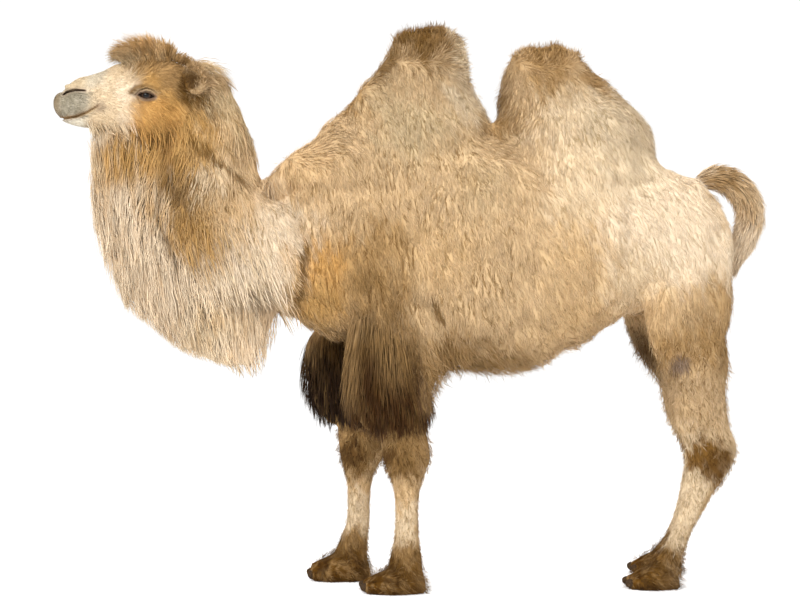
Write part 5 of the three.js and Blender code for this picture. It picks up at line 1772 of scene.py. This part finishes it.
def lashes(side):
    """A fringe along the upper lid that stands out and bends down."""
    rng = np.random.default_rng(300 + side)
    n = LASHES
    t = rng.uniform(-1, 1, n)
    top = 12.5 * (1 - np.abs(t) ** LID_POWER) ** (1 / LID_POWER)
    x, z = EYE[0] + 25 * t, EYE[2] + 1 + top - 0.06 * 25 * t
    off = np.sqrt(np.maximum(LID_RADIUS ** 2 - (x - EYE[0]) ** 2 - (z - EYE[2]) ** 2, 60))
    root = np.stack([x, side * (EYE[1] + off - 1), z], 1)
    length = rng.uniform(9, 15, n)
    out = np.stack([t * 0.55 + 0.12, np.full(n, side * 0.95), np.full(n, 0.2)], 1)
    out = unit(out + rng.normal(size=(n, 3)) * 0.08)
    bend = unit(np.stack([t * 0.5 + 0.2, np.full(n, side * 0.8), np.full(n, -0.35)], 1))
    s = np.linspace(0, 1, 5)[:, None]
    length = length[:, None, None]
    paths = root[:, None] + out[:, None] * (length * s * 0.6) + bend[:, None] * (length * s ** 2 * 0.45)
    widths = np.tile(np.array([0, 1.3, 1.1, 0.8, 0]), (n, 1))
    up = np.tile([0.0, 0, 1], (n, 1))
    across = unit(np.cross(out, up))
    marks = np.tile(COLOURS["dark_brown"] * 0.8, (n, 5, 1))
    uv = np.stack([0.05 + 0.9 * (t + 1) / 2, np.full(n, 0.5)], 1)
    return tufts("lashes_" + SIDE_NAMES[side], paths, widths, across, up, marks, uv, rng,
                 LONG_HAIR, thick=0.4)


eyeballs = {side: eyeball(side) for side in (LEFT, RIGHT)}
lash_pieces = [lashes(side) for side in (LEFT, RIGHT)]

# %% [markdown]
# ## Nails
#
# Each toe ends in a small blunt nail of ridged keratin, half sunk in the pad.

# %% Nails
def nail_material():
    mat = material("keratin nail", 0.7, KERATIN_IOR, Specular_IOR_Level=NAIL_GLOSS)
    place = node(mat, "ShaderNodeTexCoord").outputs["Object"]
    ridges = node(mat, "ShaderNodeMapping", None, Vector=place, Scale=(120.0, 900.0, 160.0))
    noise = node(mat, "ShaderNodeTexNoise", None, Vector=ridges.outputs[0], Scale=1.0, Detail=3.0)
    ramp = node(mat, "ShaderNodeValToRGB", i0=noise.outputs[0])
    for stop, text in zip(ramp.color_ramp.elements, ("2a1c10", "5b4630")):
        stop.color = (*linear(text), 1)
    attach(mat, "Base Color", ramp.outputs[0])
    roughen(mat, noise, 0.5, 0.0008)
    return mat


KERATIN = nail_material()


NAIL_RADII, NAIL_TILT, NAIL_PLACE = np.array([22.0, 14.0, 17.0]), math.radians(26), (5, 23)
TOE_APART = 33  # mm from the middle of a foot to the middle of a toe


def nail(node_name, front, y):
    points, quads = ball(NAIL_RADII, 28, 18)
    c, s = math.cos(NAIL_TILT), math.sin(NAIL_TILT)
    x, z = points[:, 0].copy(), points[:, 2].copy()
    points[:, 0], points[:, 2] = c * x + s * z, -s * x + c * z
    points += (front + NAIL_PLACE[0], y, NAIL_PLACE[1])
    points[:, 2] = np.maximum(points[:, 2], SKIN_LOWEST)
    return new_piece(node_name.replace("_nail", "_toenail"), points, quads, KERATIN)


nails = {}
for end, y_of, front, step in (("fore", FORE_Y, -216, fore_step), ("hind", HIND_Y, 798, hind_step)):
    for side, side_name in SIDE_NAMES.items():
        move = float(step(FOOT_LEVEL)) if side == RIGHT else 0
        for toe, toe_name in ((1, "outer"), (-1, "inner")):
            name = f"{end}_foot_{side_name}_nail_{toe_name}"
            nails[name] = nail(name, front + move, side * (y_of + toe * TOE_APART))
print("nails:", len(nails))

# %% [markdown]
# ## Joining the frame
#
# Every piece rides on the one body. Skin, beard, crown tuft, cuffs, eyes and nails stand for the
# solids that they cover. All other hair grows on the skin and stands for none.

# %% What rides and what is replaced
HAIR_NODES = {"beard", "topknot", "forearm_hair_left", "forearm_hair_right"}
flesh = [n for n in NODES if n not in HAIR_NODES and not n.startswith("eye_") and "nail" not in n]


def hand_in(obj, slot, *nodes):
    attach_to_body(obj, "root")
    if nodes:
        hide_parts(*nodes)


hand_in(skin_obj, "coat", *flesh)
for region, obj in short_pieces.items():
    hand_in(obj, {"face": "face", "foot": "foot"}.get(region, "coat"))
hand_in(beard_hair, "beard", "beard")
hand_in(crown_hair, "topknot", "topknot")
hand_in(tail_hair, "coat")
hand_in(neck_hair, "coat")
for side, side_name in SIDE_NAMES.items():
    hand_in(cuff_hair[side], "dark_hair", "forearm_hair_" + side_name)
    hand_in(eyeballs[side], "eye", "eye_" + side_name)
for obj in lash_pieces:
    hand_in(obj, "dark_hair")
for name, obj in nails.items():
    hand_in(obj, "nail", name)

# %% [markdown]
# ## Studio
#
# A pale sweep of floor, a large soft lamp above the viewer's left, a weak one at the right and
# one overhead, under an even white sky.

# %% Floor, lamps, camera
HORIZON_LIGHT, ZENITH_LIGHT, BACKDROP = 0.78, 0.42, 1.06
SKY_HEIGHTS = (0.22, 0.6)  # where the light of the horizon ends and that of the zenith starts
FLOOR_GLOW = (0.12, 0.62)  # for light that falls on the object, and as seen
FLOOR_HALF = 60  # metres, so that its edge is never seen
floor_mesh = bpy.data.meshes.new("floor")
floor_mesh.from_pydata([(x * FLOOR_HALF, y * FLOOR_HALF, 0)
                        for x, y in ((-1, -1), (1, -1), (1, 1), (-1, 1))], [], [(0, 1, 2, 3)])
FLOOR = material("pale floor", 0.9, SKIN_IOR, tuple(linear("f8f8f8")), Emission_Color=(1, 1, 1, 1))
seen = node(FLOOR, "ShaderNodeLightPath").outputs["Is Camera Ray"]
glow = ranged(FLOOR, seen, 0.0, 1.0, *FLOOR_GLOW)
attach(FLOOR, "Emission Strength", glow.outputs[0])
floor_mesh.materials.append(FLOOR)
floor = bpy.data.objects.new("floor", floor_mesh)
bpy.context.scene.collection.objects.link(floor)

world = bpy.data.worlds.new("white studio")
world.use_nodes = True
direction = node(world, "ShaderNodeTexCoord").outputs["Generated"]
height = node(world, "ShaderNodeSeparateXYZ", i0=direction)
level = ranged(world, height.outputs[2], *SKY_HEIGHTS, HORIZON_LIGHT, ZENITH_LIGHT)
level.interpolation_type = "SMOOTHSTEP"
seen = node(world, "ShaderNodeLightPath").outputs["Is Camera Ray"]
backdrop = ranged(world, seen, 0.0, 1.0, level.outputs[0], BACKDROP)
sky = world.node_tree.nodes["Background"]
sky.inputs[0].default_value = (1, 1, 1, 1)
world.node_tree.links.new(backdrop.outputs[0], sky.inputs[1])
bpy.context.scene.world = world


def facing(place, aim):
    """The rotation of a lamp or camera that looks from a place to a point."""
    return (Vector(aim) - Vector(place)).to_track_quat("-Z", "Y").to_euler()


def lamp(name, place, aim, size, power):
    data = bpy.data.lights.new(name, "AREA")
    data.shape, data.size, data.energy = "SQUARE", size, power
    obj = bpy.data.objects.new(name, data)
    obj.location = place
    obj.rotation_euler = facing(place, aim)
    bpy.context.scene.collection.objects.link(obj)


lamp("key lamp", (-2.8, -5.2, 5.4), (0, 0, 1.2), 3.2, 405)
lamp("fill lamp", (5.0, -5.0, 2.5), (0.4, 0, 1.1), 4.0, 24)
lamp("top lamp", (1.2, 0.5, 6.8), (0.2, 0, 1.4), 3.0, 250)

LENS_MM, CAMERA_PLACE, CAMERA_AIM = 81.6, (-0.7936, -6.9608, 1.21195), (-0.062, 0, 1.102)
bpy.context.scene.view_settings.view_transform = "Standard"
camera_data = bpy.data.cameras.new("camera")
camera_data.lens = LENS_MM
camera = bpy.data.objects.new("camera", camera_data)
camera.location = CAMERA_PLACE
camera.rotation_euler = facing(CAMERA_PLACE, CAMERA_AIM)
bpy.context.scene.collection.objects.link(camera)
bpy.context.scene.camera = camera
